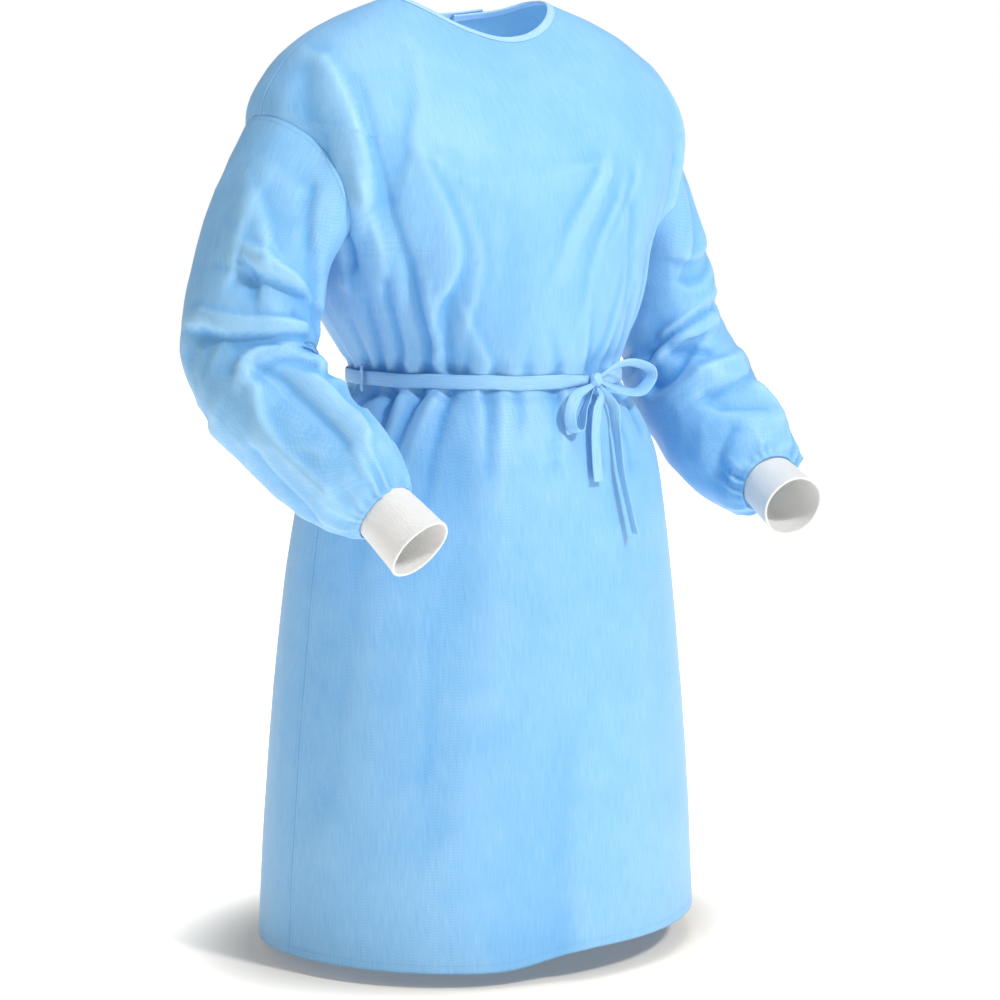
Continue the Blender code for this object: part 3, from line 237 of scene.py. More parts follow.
# Main folds of the body: three places along each, as an angle round the body and a ring, then the width and the
# height of the fold in metres. A trough has a negative height. start and end give its strength at each end.
FOLD_COLUMNS = (
    "name", "angle_a", "ring_a", "angle_b", "ring_b", "angle_c", "ring_c", "width", "height", "start", "end",
    "lean", "sharp",
)
BODY_FOLDS = (
    ("shoulder drape ridge", -75, 3.7, -57, 4.8, -57, 6.0, 0.020, 0.010, 0.4, 1.0, 0.3, 0.5),
    ("shoulder drape foot", -57, 6.0, -60, 6.8, -63, 7.4, 0.018, 0.009, 1.0, 0.2, 0.3, 0.5),
    ("shoulder drape crease", -60, 3.9, -52, 4.9, -51, 6.0, 0.013, -0.007, 0.2, 0.5, 0.3, 0.7),
    ("chest crease", -51, 6.1, -54, 7.4, -57, 8.8, 0.012, -0.008, 0.5, 0.8, 0.3, 0.7),
    ("shoulder cap trough", -78, 4.0, -73, 4.7, -70, 5.4, 0.020, -0.006, 0.5, 0.6, 0.0, 0.4),
    ("armpit fold", -66, 5.2, -68, 6.2, -72, 7.2, 0.011, -0.006, 0.3, 1.0, 0.2, 0.6),
    ("armpit ridge", -71, 5.6, -73, 6.6, -77, 7.6, 0.010, 0.004, 0.3, 1.0, 0.0, 0.6),
    ("soft chest boundary", -52, 2.6, -45, 3.8, -44, 5.2, 0.030, -0.003, 0.3, 1.0, 0.5, 0.2),
    ("curved chest trough", -36, 5.3, -34, 6.8, -46, 8.1, 0.018, -0.005, 0.2, 1.0, -0.5, 0.6),
    ("curved chest ridge", -32, 5.5, -31, 6.9, -41, 8.4, 0.020, 0.003, 0.2, 1.0, 0.7, 0.8),
    ("curved chest foot", -45, 8.0, -50, 8.8, -52, 9.9, 0.010, -0.006, 1.0, 0.8, -0.3, 0.7),
    ("chest cross facet", -34, 5.3, -24, 5.6, -12, 5.3, 0.024, 0.0014, 0.8, 0.4, 0.7, 0.6),
    ("breast soft dent", -20, 6.2, -22, 7.2, -28, 8.4, 0.030, -0.003, 0.4, 1.0, 0.0, 0.2),
    ("left top line", -11, 5.4, -3, 5.2, 6, 5.0, 0.020, 0.0016, 0.4, 1.0, 0.7, 0.7),
    ("left drag line", 6, 5.2, -2, 6.2, -9, 7.2, 0.016, -0.004, 0.8, 0.2, 0.6, 0.6),
    ("left drag ridge", 10, 5.2, 2, 6.3, -5, 7.4, 0.016, 0.0018, 1.0, 0.2, 0.6, 0.7),
    ("left second drag line", 12, 5.8, 4, 6.9, 0, 7.9, 0.014, -0.004, 0.8, 0.2, 0.5, 0.6),
    ("left third drag line", 19, 5.4, 15, 6.0, 9, 6.8, 0.012, -0.0025, 0.8, 0.2, 0.5, 0.6),
    ("left long drag line", 19, 6.1, 22, 7.1, 23, 8.1, 0.016, -0.005, 0.6, 0.6, 0.0, 0.6),
    ("left low drag line", 18, 7.6, 14, 8.6, 9, 9.8, 0.012, -0.005, 0.3, 1.0, 0.3, 0.7),
    ("left shoulder ridge", 72, 3.8, 57, 4.9, 57, 6.2, 0.020, 0.008, 0.4, 1.0, 0.0, 0.5),
    ("left armpit trough", 50, 5.4, 52, 6.8, 58, 8.4, 0.015, -0.008, 0.5, 0.8, 0.0, 0.6),
    ("left front trough", 38, 6.4, 40, 7.6, 42, 9.2, 0.014, -0.005, 0.3, 1.0, 0.3, 0.6),
    ("far side gather above belt", -86, 9.9, -84, 9.2, -82, 8.4, 0.007, -0.006, 1.0, 0.2, 0.0, 0.6),
    ("side gather above belt", -80, 9.9, -77, 9.0, -72, 8.0, 0.008, -0.009, 1.0, 0.2, 0.2, 0.6),
    ("second gather above belt", -72, 9.9, -68, 8.9, -63, 7.6, 0.008, -0.010, 1.0, 0.2, 0.2, 0.6),
    ("second gather ridge", -68, 9.5, -64, 8.7, -60, 7.7, 0.008, 0.004, 1.0, 0.3, 0.0, 0.7),
    ("long gather above belt", -61, 9.9, -58, 8.8, -53, 7.2, 0.009, -0.010, 1.0, 0.3, 0.3, 0.6),
    ("long gather ridge", -57, 9.4, -54, 8.6, -50, 7.6, 0.007, 0.005, 1.0, 0.3, 0.0, 0.8),
    ("right front gather above belt", -52, 9.9, -51, 9.2, -49, 8.2, 0.008, -0.006, 1.0, 0.2, 0.3, 0.6),
    ("small front gather above belt", -46, 9.9, -45, 9.5, -43, 9.0, 0.006, -0.004, 1.0, 0.2, 0.0, 0.5),
    ("centre gather above belt", -35, 9.9, -35, 9.1, -39, 8.0, 0.012, -0.004, 1.0, 0.2, 0.4, 0.4),
    ("front gather above belt", -22, 9.9, -22, 9.4, -21, 8.8, 0.009, -0.003, 1.0, 0.2, 0.0, 0.3),
    ("mid gather above belt", -9, 9.9, -10, 9.3, -12, 8.6, 0.008, -0.004, 1.0, 0.2, 0.0, 0.5),
    ("knot gather above belt", 7, 9.9, 6, 9.2, 4, 8.3, 0.009, -0.006, 1.0, 0.2, 0.3, 0.6),
    ("left knot gather above belt", 17, 9.9, 18, 9.2, 20, 8.5, 0.008, -0.006, 1.0, 0.2, 0.0, 0.6),
    ("side gather below belt", -82, 11.2, -85, 11.8, -88, 12.4, 0.008, -0.008, 1.0, 0.2, 0.0, 0.6),
    ("deep gather below belt", -73, 11.2, -73, 12.0, -73, 13.0, 0.009, -0.012, 1.0, 0.2, 0.3, 0.6),
    ("deep gather ridge", -69, 11.6, -69, 12.2, -69, 12.9, 0.007, 0.004, 1.0, 0.2, 0.0, 0.8),
    ("second gather below belt", -62, 11.2, -64, 12.0, -67, 13.0, 0.008, -0.009, 1.0, 0.2, 0.3, 0.6),
    ("second gather lower ridge", -57, 11.6, -59, 12.3, -62, 13.2, 0.008, 0.004, 1.0, 0.2, 0.0, 0.8),
    ("third gather below belt", -52, 11.2, -53, 12.1, -55, 13.4, 0.009, -0.006, 1.0, 0.2, 0.0, 0.5),
    ("centre gather below belt", -39, 11.2, -38, 12.0, -37, 13.0, 0.009, -0.005, 1.0, 0.2, -0.3, 0.5),
    ("centre ridge below belt", -33, 11.4, -33, 12.3, -33, 13.4, 0.010, 0.004, 0.8, 0.2, 0.0, 0.7),
    ("small centre gather below belt", -27, 11.2, -27, 11.8, -28, 12.5, 0.008, -0.003, 1.0, 0.2, 0.0, 0.4),
    ("knot gather below belt", -10, 11.2, -12, 12.0, -15, 13.0, 0.010, -0.005, 1.0, 0.2, 0.3, 0.5),
    ("under knot gather below belt", 3, 11.2, 2, 12.0, 0, 13.0, 0.010, -0.005, 1.0, 0.2, 0.0, 0.5),
    ("left knot gather below belt", 17, 11.2, 17, 12.0, 16, 13.1, 0.009, -0.006, 1.0, 0.2, 0.0, 0.5),
    ("skirt front fold", -48, 13.0, -47, 14.4, -50, 16.6, 0.045, -0.006, 0.5, 0.3, 0.2, 0.2),
    ("skirt light band", -35, 12.8, -34, 14.0, -34, 15.4, 0.030, 0.003, 0.6, 0.3, 0.0, 0.2),
    ("skirt faint crease", -51, 14.8, -51, 15.4, -52, 16.2, 0.012, -0.0012, 0.4, 0.8, 0.0, 0.6),
    ("skirt left fold", 20, 13.0, 22, 14.6, 24, 16.6, 0.050, -0.005, 0.5, 0.3, 0.0, 0.2),
    ("skirt side fold", -76, 13.2, -77, 14.6, -80, 16.4, 0.050, -0.005, 0.5, 0.3, 0.3, 0.2),
    ("skirt hem fold", -18, 15.8, -20, 17.0, -20, 18.0, 0.050, -0.008, 0.1, 1.0, 0.2, 0.0),
)

# Gathers worked out along the belt on the wearer's left and back, where the photograph shows none. The pairs give
# the rings where they start above and below the belt, where the shortest ones end, and how many rings more the
# longest ones have.
HIDDEN_GATHER_ANGLES = (28, 44, 58, 71, 84, 99, 114, 128, 200, 214, 229, 244, 258)
HIDDEN_GATHER_WIDTH = 0.0095
HIDDEN_GATHER_DEPTH = 0.0060
HIDDEN_GATHER_LEAN = 5.0
HIDDEN_GATHER_STARTS = (9.9, 11.2)
HIDDEN_GATHER_ENDS = (8.7, 12.4)
HIDDEN_GATHER_MORE = (1.1, 0.9)

# Main folds of the sleeves: the same columns, with turn and row in place of angle and ring.
RIGHT_SLEEVE_FOLDS = (
    ("cap facet", 10, 0.7, 34, 1.2, 46, 1.7, 0.014, 0.0035, 0.2, 1.0, 0.7, 0.9),
    ("cap facet foot", 46, 1.7, 62, 1.9, 80, 2.1, 0.014, 0.006, 1.0, 0.5, 0.5, 0.8),
    ("cap light band", 28, 0.6, 22, 1.3, 18, 2.1, 0.016, 0.0025, 0.2, 1.0, 0.6, 0.7),
    ("hook crease", 18, 1.9, 28, 1.9, 38, 2.3, 0.011, -0.005, 0.4, 1.0, 0.4, 0.7),
    ("upper crease", 34, 2.1, 64, 2.3, 94, 2.4, 0.013, -0.008, 0.6, 1.0, 0.4, 0.7),
    ("upper inner crease", 88, 1.3, 104, 2.0, 116, 2.9, 0.013, -0.006, 0.3, 1.0, 0.3, 0.6),
    ("armpit pull", 60, 0.5, 76, 1.2, 96, 1.9, 0.012, -0.005, 0.6, 0.6, 0.3, 0.6),
    ("elbow crease", -14, 3.1, 28, 3.5, 80, 3.6, 0.010, -0.009, 0.6, 0.7, 0.5, 0.8),
    ("elbow upper ridge", -8, 2.8, 30, 3.1, 78, 3.2, 0.010, 0.005, 0.4, 1.0, 0.4, 0.7),
    ("elbow inner crease", 88, 3.5, 112, 3.7, 140, 3.8, 0.012, -0.008, 0.3, 1.0, 0.0, 0.6),
    ("second elbow crease", 34, 3.7, 56, 4.1, 84, 4.2, 0.010, -0.007, 0.4, 1.0, 0.4, 0.7),
    ("elbow ridge", -2, 4.0, 34, 3.8, 60, 4.5, 0.012, 0.006, 0.7, 1.0, 0.3, 0.7),
    ("elbow pocket", 70, 3.0, 77, 3.1, 84, 3.2, 0.008, -0.003, 1.0, 0.4, 0.0, 0.5),
    ("elbow lower crease", -2, 4.3, 22, 4.3, 46, 4.7, 0.011, -0.005, 0.6, 1.0, 0.4, 0.7),
    ("under elbow trough", 60, 4.9, 95, 4.6, 130, 4.4, 0.012, -0.007, 0.5, 1.0, 0.3, 0.6),
    ("under elbow ridge", 52, 5.2, 88, 5.0, 122, 4.8, 0.011, 0.005, 0.5, 1.0, 0.0, 0.6),
    ("forearm ridge", -14, 4.6, -36, 5.6, -44, 7.2, 0.016, 0.006, 0.7, 0.7, 0.3, 0.7),
    ("forearm facet line", 4, 4.2, 10, 5.4, 2, 6.8, 0.016, -0.005, 0.6, 0.8, 0.3, 0.6),
    ("forearm front ridge", 34, 5.0, 36, 5.9, 26, 6.9, 0.013, 0.005, 0.6, 0.8, 0.3, 0.7),
    ("forearm bright arc", 60, 6.4, 82, 5.9, 108, 5.8, 0.011, 0.004, 0.5, 1.0, 0.3, 0.7),
    ("forearm inner trough", 66, 6.9, 90, 6.4, 118, 6.4, 0.012, -0.005, 0.5, 1.0, 0.3, 0.6),
    ("back elbow fold", 250, 3.6, 215, 3.5, 180, 3.6, 0.013, -0.008, 0.3, 1.0, 0.3, 0.6),
    ("second back elbow fold", 290, 4.2, 258, 4.2, 224, 4.3, 0.013, -0.006, 0.3, 1.0, 0.3, 0.6),
    ("back upper fold", 300, 1.8, 262, 2.2, 226, 2.5, 0.015, -0.005, 0.3, 1.0, 0.3, 0.5),
    ("back forearm fold", 300, 5.4, 282, 6.2, 272, 7.0, 0.014, -0.005, 0.5, 0.8, 0.3, 0.5),
)
LEFT_SLEEVE_FOLDS = (
    ("upper crease", 100, 2.2, 70, 2.2, 40, 1.9, 0.013, -0.006, 1.0, 0.3, 0.3, 0.7),
    ("upper ridge", 104, 1.6, 72, 1.7, 42, 1.5, 0.013, 0.004, 1.0, 0.3, 0.3, 0.7),
    ("armpit pull", 60, 0.5, 78, 1.2, 100, 1.8, 0.012, -0.005, 0.5, 0.7, 0.3, 0.6),
    ("long upper ridge", 52, 2.6, 84, 3.1, 118, 3.5, 0.012, 0.005, 0.4, 1.0, 0.3, 0.7),
    ("elbow crease", 134, 3.9, 104, 3.6, 58, 3.2, 0.011, -0.009, 1.0, 0.4, 0.3, 0.7),
    ("second elbow crease", 130, 4.7, 98, 4.8, 66, 4.2, 0.012, -0.008, 1.0, 0.4, 0.3, 0.7),
    ("elbow ridge", 112, 4.3, 86, 4.1, 56, 3.6, 0.011, 0.006, 0.8, 0.5, 0.3, 0.7),
    ("elbow pocket", 96, 4.3, 78, 4.5, 62, 4.7, 0.009, -0.006, 1.0, 0.6, 0.0, 0.6),
    ("outer elbow fold", 40, 3.0, 18, 3.4, -6, 3.5, 0.012, -0.006, 1.0, 0.3, 0.3, 0.6),
    ("forearm facet", 12, 4.6, 40, 5.0, 82, 5.1, 0.016, 0.006, 0.3, 1.0, 0.3, 0.7),
    ("forearm crease", 18, 5.2, 46, 5.7, 84, 5.7, 0.012, -0.006, 0.3, 1.0, 0.3, 0.7),
    ("forearm trough", 80, 6.1, 60, 6.4, 40, 6.6, 0.016, -0.006, 0.8, 0.3, 0.3, 0.6),
    ("forearm bright triangle", 34, 5.9, 24, 6.5, 26, 7.1, 0.013, 0.005, 1.0, 0.6, 0.0, 0.7),
    ("forearm long crease", 86, 6.9, 106, 7.2, 130, 7.6, 0.012, -0.005, 0.6, 1.0, 0.0, 0.6),
    ("back elbow fold", 250, 3.6, 215, 3.5, 180, 3.6, 0.013, -0.008, 0.3, 1.0, 0.3, 0.6),
    ("second back elbow fold", 286, 4.3, 254, 4.2, 220, 4.4, 0.013, -0.006, 0.3, 1.0, 0.3, 0.6),
    ("back upper fold", 304, 1.9, 266, 2.2, 228, 2.4, 0.015, -0.005, 0.3, 1.0, 0.3, 0.5),
    ("back forearm fold", 304, 5.6, 284, 6.3, 270, 7.0, 0.014, -0.005, 0.5, 0.8, 0.3, 0.5),
)
# How a fold is formed: the steps along its path, how strongly its lean and its sharpness act, the most that a lean
# widens one side, and as shares of its width how far it reaches, over what its two sides blend and how round its
# crest is.
FOLD_PATH_STEPS = 12
FOLD_LEAN = 1.6
FOLD_LEAN_LIMIT = 0.7
FOLD_SHARP = 1.25
FOLD_REACH = 3.4
FOLD_SIDE_BLEND = 0.3
FOLD_CREST = 0.07

# All folds are raised by this share, and troughs that lie on one another stay under this depth.
BODY_FOLD_STRENGTH = 1.7
SLEEVE_FOLD_STRENGTH = 2.4
BODY_FOLD_LIMIT = 0.013
SLEEVE_FOLD_LIMIT = 0.017

# Small wrinkles, as crumpled facets of two sizes: the size of a facet, the seed of its noise, how far the noise is
# shifted upwards, the height in plain cloth, and how much height two places add: the waist and the chest on the
# body, the elbow and the low forearm on a sleeve.
BODY_WRINKLES = ((0.034, 11, 0.0, 0.00022, 0.0014, 0.0012), (0.075, 17, 0.3, 0.0004, 0.0016, 0.0036))
SLEEVE_WRINKLES = ((0.036, 31, 0.0, 0.0008, 0.0015, 0.0011), (0.080, 51, 0.0, 0.0026, 0.0036, 0.0034))
BODY_WRINKLE_STRETCH = (1.0, 1.0, 0.45)
WAIST_WRINKLE_RINGS = 1.6
CHEST_WRINKLE_RING = 6.6
CHEST_WRINKLE_RINGS = 1.7
CHEST_WRINKLE_ANGLES = (12.0, 62.0)
ELBOW_WRINKLE_ROW = 4.0
ELBOW_WRINKLE_ROWS = 1.3
FOREARM_WRINKLE_ROWS = (5.2, 7.2)
SLEEVE_HEAD_ROWS = 0.8

# The noise of the wrinkles: the cells of its lattice and a shift that keeps places on it above 0. Then how it is
# crumpled: the level of its facets, how steeply they rise, how round their crests are, and the size and share of a
# finer noise.
NOISE_CELLS = 64
NOISE_SHIFT = 500.0
CRUMPLE_LEVEL = 0.6
CRUMPLE_SLOPE = 1.6
CRUMPLE_ROUND = 0.0012
CRUMPLE_FINE_SIZE = 0.47
CRUMPLE_FINE_SHARE = 0.35

# Painted shade and painted highlight: creases are painted darker and crests paler, by their height over the plain form
# and by the step from their surroundings.
CREASE_DEPTH = 0.011
CREASE_STEP = 0.0011

# Cloth walls of the solids, whose gaps and outer faces the shells follow.
CLOTH_WALL = 0.0018
KNIT_WALL = 0.0025
TAPE_WALL = 0.0012
SEAM_GAP = 0.0003
SLOPE_STEP = 0.01

# How finely the shells are divided.
FRONT_STEPS = 158
RIGHT_BACK_STEPS = 100
LEFT_BACK_STEPS = 70
ARMHOLE_STEPS = 70
UPPER_ROWS = np.arange(0, 5, 0.11)
LOWER_ROWS = np.concatenate(
    [np.linspace(7.03, 10.5, 74), np.linspace(10.54, 13.0, 56), np.linspace(13.1, 17.9, 40), [17.95, 17.975, 18.0]]
)
SLEEVE_ROWS = np.concatenate([[0.0, 0.012, 0.03], np.linspace(0.08, 8.92, 140), [8.96, 8.985, 9.0]])
CUFF_TURNS = 144
CUFF_LENGTH_STEPS = 20
CUFF_RIM_STEPS = 13
NECK_STEPS = 300
BELT_STEPS = 380
BOW_STEPS_A_SECTION = 14
KNOT_TURNS = 48
KNOT_ROWS = 33

# Flat size of each cut in metres and its area in square metres, what carries the panels, and the two arms.
FRONT_CUT = {"flat": (0.94, 1.27), "area": 0.95}
BACK_RIGHT_CUT = {"flat": (0.60, 1.27), "area": 0.61}
BACK_LEFT_CUT = {"flat": (0.49, 1.27), "area": 0.43}
SLEEVE_CUT = {"flat": (0.60, 0.61), "area": 0.26}
PANEL_RESTS = ("neck_binding", "belt_waist")
SIDES = (("right", -1), ("left", 1))

# Colours, linear RGB.
CLOTH = (0.192, 0.468, 0.775)
TAPE = (0.262, 0.545, 0.830)
BINDING = (0.330, 0.600, 0.905)
KNIT = (0.770, 0.768, 0.760)

# By what shares the colours of the nonwoven and the knit change in their darkest and palest places.
# On the nonwoven, the darkest and palest places include painted shade in the creases and painted highlight on the
# crests.
CLOTH_DARK = (0.55, 0.78, 0.93)
CLOTH_PALE = (1.64, 1.23, 1.05)
KNIT_DARK = (0.90, 0.90, 0.905)
KNIT_PALE = (1.03, 1.03, 1.03)

# Sewing in metres: how wide the seam allowance shows, how far its stitches lie from the seam and the hem's from the
# hem's upper edge, half the width of a line of stitches, and how far a tape's fold line lies from its edge.
SEAM_BAND = 0.0065
SEAM_STITCH = 0.0062
HEM_STITCH = 0.0015
STITCH_HALF_WIDTH = 0.0007
TAPE_FOLD = 0.0024

# The photograph's camera and the studio.
CAMERA_AIM = (0.0312, -0.0281, -0.6320)
CAMERA_DISTANCE = 3.93
CAMERA_AZIMUTH = -42.0
CAMERA_ELEVATION = 6.9
CAMERA_LENS = 110.9
CAMERA_SENSOR = 36.0
FLOOR_COLOUR = (0.89, 0.83, 0.74)
FLOOR_HALF = 9.0
FLOOR_DROP = 0.020
# The floor glows: dimmer near the gown and full beyond the reach, stretched by the shape. This is a painted shadow
# round the gown's foot that deepens its real contact shadow.
FLOOR_GLOW_NEAR = 0.10
FLOOR_GLOW_REACH = (0.29, 0.50)
FLOOR_GLOW_SHAPE = (1.0, 1.2, 1.0)
WORLD_LIGHT = 0.28
LIGHTS = (
    ("key light", (0.45, -3.5, 2.3), (0.0, 0.0, -0.55), 0.6, 126.0, 180.0),
    ("side light", (-3.3, -0.6, 1.1), (-0.25, 0.0, -0.25), 0.9, 1.5, 80.0),
    ("top light", (0.1, -0.5, 2.7), (0.0, 0.0, -0.4), 2.0, 46.0, 180.0),
)
INNER_LIGHT_COLOUR = (1.0, 0.93, 0.72)
INNER_LIGHTS = (
    ("inner chest light", (0.0, -0.01, -0.28), 0.08, 1.5),
    ("inner right forearm light", (-0.345, -0.120, -0.535), 0.02, 0.16),
    ("inner left forearm light", (0.337, -0.120, -0.555), 0.02, 0.24),
)


def column(table, columns, name):
    """One named column of a table as an array."""
    return np.array([row[columns.index(name)] for row in table], dtype=float)


def unit(vectors):
    return vectors / np.linalg.norm(vectors, axis=-1, keepdims=True)


def smooth_step(share):
    share = np.clip(share, 0.0, 1.0)
    return share * share * (3 - 2 * share)


def smooth_through(values, at):
    """Curve through values at 0, 1, 2 and on: a cubic in each gap, with slopes taken from the neighbours."""
    values = np.asarray(values, dtype=float)
    last = len(values) - 1
    at = np.clip(np.asarray(at, dtype=float), 0.0, last)
    left = np.minimum(np.floor(at).astype(int), last - 1)
    part = at - left
    steps = np.diff(values, axis=0)
    slopes = np.concatenate([steps[:1], (steps[1:] + steps[:-1]) / 2, steps[-1:]])
    if values.ndim > 1:
        part = part[..., None]
    rise = smooth_step(part)
    return (
        values[left] * (1 - rise)
        + values[left + 1] * rise
        + slopes[left] * part * (1 - part) ** 2
        - slopes[left + 1] * part * part * (1 - part)
    )


def eased(value, low, high):
    """0 at low and 1 at high, with a smooth step between them."""
    return smooth_step((value - low) / (high - low))


def bell(value, middle, width):
    """1 where the value is at the middle, falling off as a bell: e to the minus square of the distance in widths."""
    return np.exp(-(((value - middle) / width) ** 2))


def hem_lift(angle, ring):
    """How much higher than level the skirt hangs at this angle: all of it at the hem, and none above the hips."""
    start, full, last, end = HEM_LIFT_ANGLES
    angle = (angle + 180.0) % 360.0 - 180.0
    share = eased(angle, start, full) * eased(angle, end, last)
    return HEM_LIFT * share * np.clip((ring - HEM_LIFT_RING) / (HEM_RING - HEM_LIFT_RING), 0.0, 1.0) ** 2


def body_base(angle, ring):
    """Point of the plain body: angle is 0 at the centre front and 90 at the wearer's left side."""
    angle, ring = np.broadcast_arrays(np.radians(angle), np.asarray(ring, dtype=float))
    size = {name: smooth_through(column(RINGS, RING_COLUMNS, name), ring) for name in RING_COLUMNS[1:]}
    across, ahead = np.sin(angle), np.cos(angle)
    bend = 2.0 / size["power"]
    x = size["half_width"] * np.sign(across) * np.abs(across) ** bend
    x = np.where(x > 0, x * np.interp(ring, *zip(*LEFT_SHARE)), x)
    reach = np.where(ahead > 0, -size["front"], size["back"])
    middle = np.where(ahead > 0, size["front_z"], size["back_z"])
    z = size["side_z"] + (middle - size["side_z"]) * ahead**2 + hem_lift(np.degrees(angle), ring)
    return np.stack([x, reach * np.abs(ahead) ** bend, z], axis=-1)


def fold_height(points, table, place, top):
    """Sum of the folds at these points. Each is highest on its own path, a curve through its three places, and falls
    off with the distance from it as a bell, or as a narrower crest where it is sharp. Where it leans, one of its sides
    is wider than the other."""
    total = np.zeros(points.shape[:-1])
    share = np.linspace(0.0, 1.0, FOLD_PATH_STEPS)
    near, mid, far = 2 * (share - 0.5) * (share - 1), -4 * share * (share - 1), 2 * share * (share - 0.5)
    for row in table:
        fold = {"lean": 0.0, "sharp": 0.0} | dict(zip(FOLD_COLUMNS, row))
        angle = fold["angle_a"] * near + fold["angle_b"] * mid + fold["angle_c"] * far
        ring = fold["ring_a"] * near + fold["ring_b"] * mid + fold["ring_c"] * far
        path = place(angle, ring)
        reach = FOLD_REACH * fold["width"] * (1 + min(FOLD_LEAN * abs(fold["lean"]), FOLD_LEAN_LIMIT))
        close = ((points > path.min(axis=0) - reach) & (points < path.max(axis=0) + reach)).all(axis=-1)
        if not close.any():
            continue
        spots = points[close]
        strength = fold["start"] + (fold["end"] - fold["start"]) * share
        faces = plain_normals(place, angle, ring, top)
        best = np.zeros(len(spots))
        for start, end, face, weight in zip(path[:-1], path[1:], faces, (strength[1:] + strength[:-1]) / 2):
            run = end - start
            offset = spots - start
            along = np.clip((offset @ run) / (run @ run), 0.0, 1.0)
            away = np.linalg.norm(offset - along[:, None] * run, axis=-1)
            blend = np.linalg.norm(run) * FOLD_SIDE_BLEND * fold["width"]
            beside = np.tanh(offset @ np.cross(run, face) / blend)
            width = fold["width"] * (1 + min(FOLD_LEAN * fold["lean"], FOLD_LEAN_LIMIT) * beside)
            crest = FOLD_CREST * width
            away = np.sqrt(away**2 + crest**2) - crest if fold["sharp"] else away
            best = np.maximum(best, weight * np.exp(-((away / width) ** (2.0 - FOLD_SHARP * fold["sharp"]))))
        total[close] += best * fold["height"]
    return total


def hidden_gathers():
    """Rows of short troughs above and below the belt, on the sides that the photograph hides. Sines of the count make
    their length, their depth and their lean uneven."""
    start_above, start_below = HIDDEN_GATHER_STARTS
    end_above, end_below = HIDDEN_GATHER_ENDS
    more_above, more_below = HIDDEN_GATHER_MORE
    rows = []
    for count, angle in enumerate(HIDDEN_GATHER_ANGLES):
        uneven = 0.5 + 0.5 * math.sin(2.4 * count + 0.7)
        lean = HIDDEN_GATHER_LEAN * math.sin(1.7 * count)
        depth = -HIDDEN_GATHER_DEPTH * (0.6 + 0.5 * uneven)
        top = end_above - more_above * uneven
        foot = end_below + more_below * (1 - uneven)
        above = (angle, start_above, angle + lean / 2, (start_above + top) / 2, angle + lean, top)
        below = (angle + 2, start_below, angle + 2, (start_below + foot) / 2, angle + 2 - lean / 2, foot)
        rows.append(("gather above belt",) + above + (HIDDEN_GATHER_WIDTH, depth, 1.0, 0.2))
        rows.append(("gather below belt",) + below + (HIDDEN_GATHER_WIDTH, depth, 1.0, 0.2))
    return tuple(rows)


ALL_BODY_FOLDS = BODY_FOLDS + hidden_gathers()


def plain_normals(shape, first, second, top):
    """Normals of a shape of two parameters, from its slopes along each; top is the second one's last value."""
    first, second = np.broadcast_arrays(np.asarray(first, float), np.asarray(second, float))
    slope_first = shape(first + 0.5, second) - shape(first - 0.5, second)
    before = np.clip(second - SLOPE_STEP, 0.0, top)
    after = np.clip(second + SLOPE_STEP, 0.0, top)
    slope_second = shape(first, after) - shape(first, before)
    return unit(np.cross(slope_second, slope_first))


def layer_tuck(angle, ring):
    """How far the inner back panel lies under the outer one, for an angle from 90 at the side to 180 at the back."""
    depth = LAYER_TUCK_BELOW + (LAYER_TUCK_NECK - LAYER_TUCK_BELOW) * (1 - smooth_step(ring / LAYER_TUCK_RINGS))
    return depth * eased(angle, LAYER_TUCK_START, LAYER_TUCK_FULL)


def armhole(turn):
    """Angle and ring of the left armhole seam: turn is 0 at the top, 90 at the front and 180 under the arm."""
    turn = np.radians(turn)
    half = (UNDERARM_RING - ARMHOLE_TOP_RING) / 2
    middle = (UNDERARM_RING + ARMHOLE_TOP_RING) / 2
    sweep = np.where(np.sin(turn) > 0, ARMHOLE_FRONT_SWEEP, ARMHOLE_BACK_SWEEP)
    return 90 - sweep * np.sin(turn), middle - half * np.cos(turn)


def side_limit(ring, sweep):
    """How far the panel's side edge lies from 90 degrees at this ring: 0 but for the armhole."""
    half = (UNDERARM_RING - ARMHOLE_TOP_RING) / 2
    middle = (UNDERARM_RING + ARMHOLE_TOP_RING) / 2
    return sweep * np.sqrt(np.clip(1 - ((ring - middle) / half) ** 2, 0.0, 1.0))


def narrowed(angle, limit):
    """Angles up to 90 drawn in so that 90 falls on the limit, while those under the core stay."""
    size = np.abs(angle)
    moved = PANEL_CORE + (size - PANEL_CORE) * (limit - PANEL_CORE) / (90 - PANEL_CORE)
    return np.sign(angle) * np.where(size > PANEL_CORE, moved, size)


def end_angles(ends, rows):
    return np.interp(rows, [ring for ring, _ in ends], [angle for _, angle in ends])


def back_angles(end, rows, steps):
    """Angles from the side at 90 to the panel's free edge, counted over the back, with the armhole let in."""
    share = np.linspace(0.0, 1.0, steps + 1)[None, :]
    start = 90 + side_limit(rows, ARMHOLE_BACK_SWEEP)
    return start + (end - start) * share


def wrinkle_noise(points, size, seed):
    """Smooth noise from -1 to 1: random values on a lattice of this cell size, eased between its corners."""
    table = np.random.RandomState(seed).uniform(-1.0, 1.0, (NOISE_CELLS,) * 3)
    place = points / size + NOISE_SHIFT
    cell = np.floor(place).astype(int)
    part = smooth_step(place - cell)
    total = np.zeros(points.shape[:-1])
    for corner in range(8):
        step = np.array([corner & 1, corner >> 1 & 1, corner >> 2])
        weight = np.where(step == 1, part, 1 - part).prod(-1)
        total += weight * table[tuple(np.moveaxis((cell + step) % NOISE_CELLS, -1, 0))]
    return total


def crumple(points, size, seed):
    """Noise folded at zero, so that it has narrow crests between broad facets: a level less the noise without its
    sign, and a share of a finer noise."""
    first = wrinkle_noise(points, size, seed)
    second = wrinkle_noise(points, size * CRUMPLE_FINE_SIZE, seed + 1)
    return CRUMPLE_LEVEL - np.sqrt(first**2 + CRUMPLE_ROUND) * CRUMPLE_SLOPE + CRUMPLE_FINE_SHARE * second


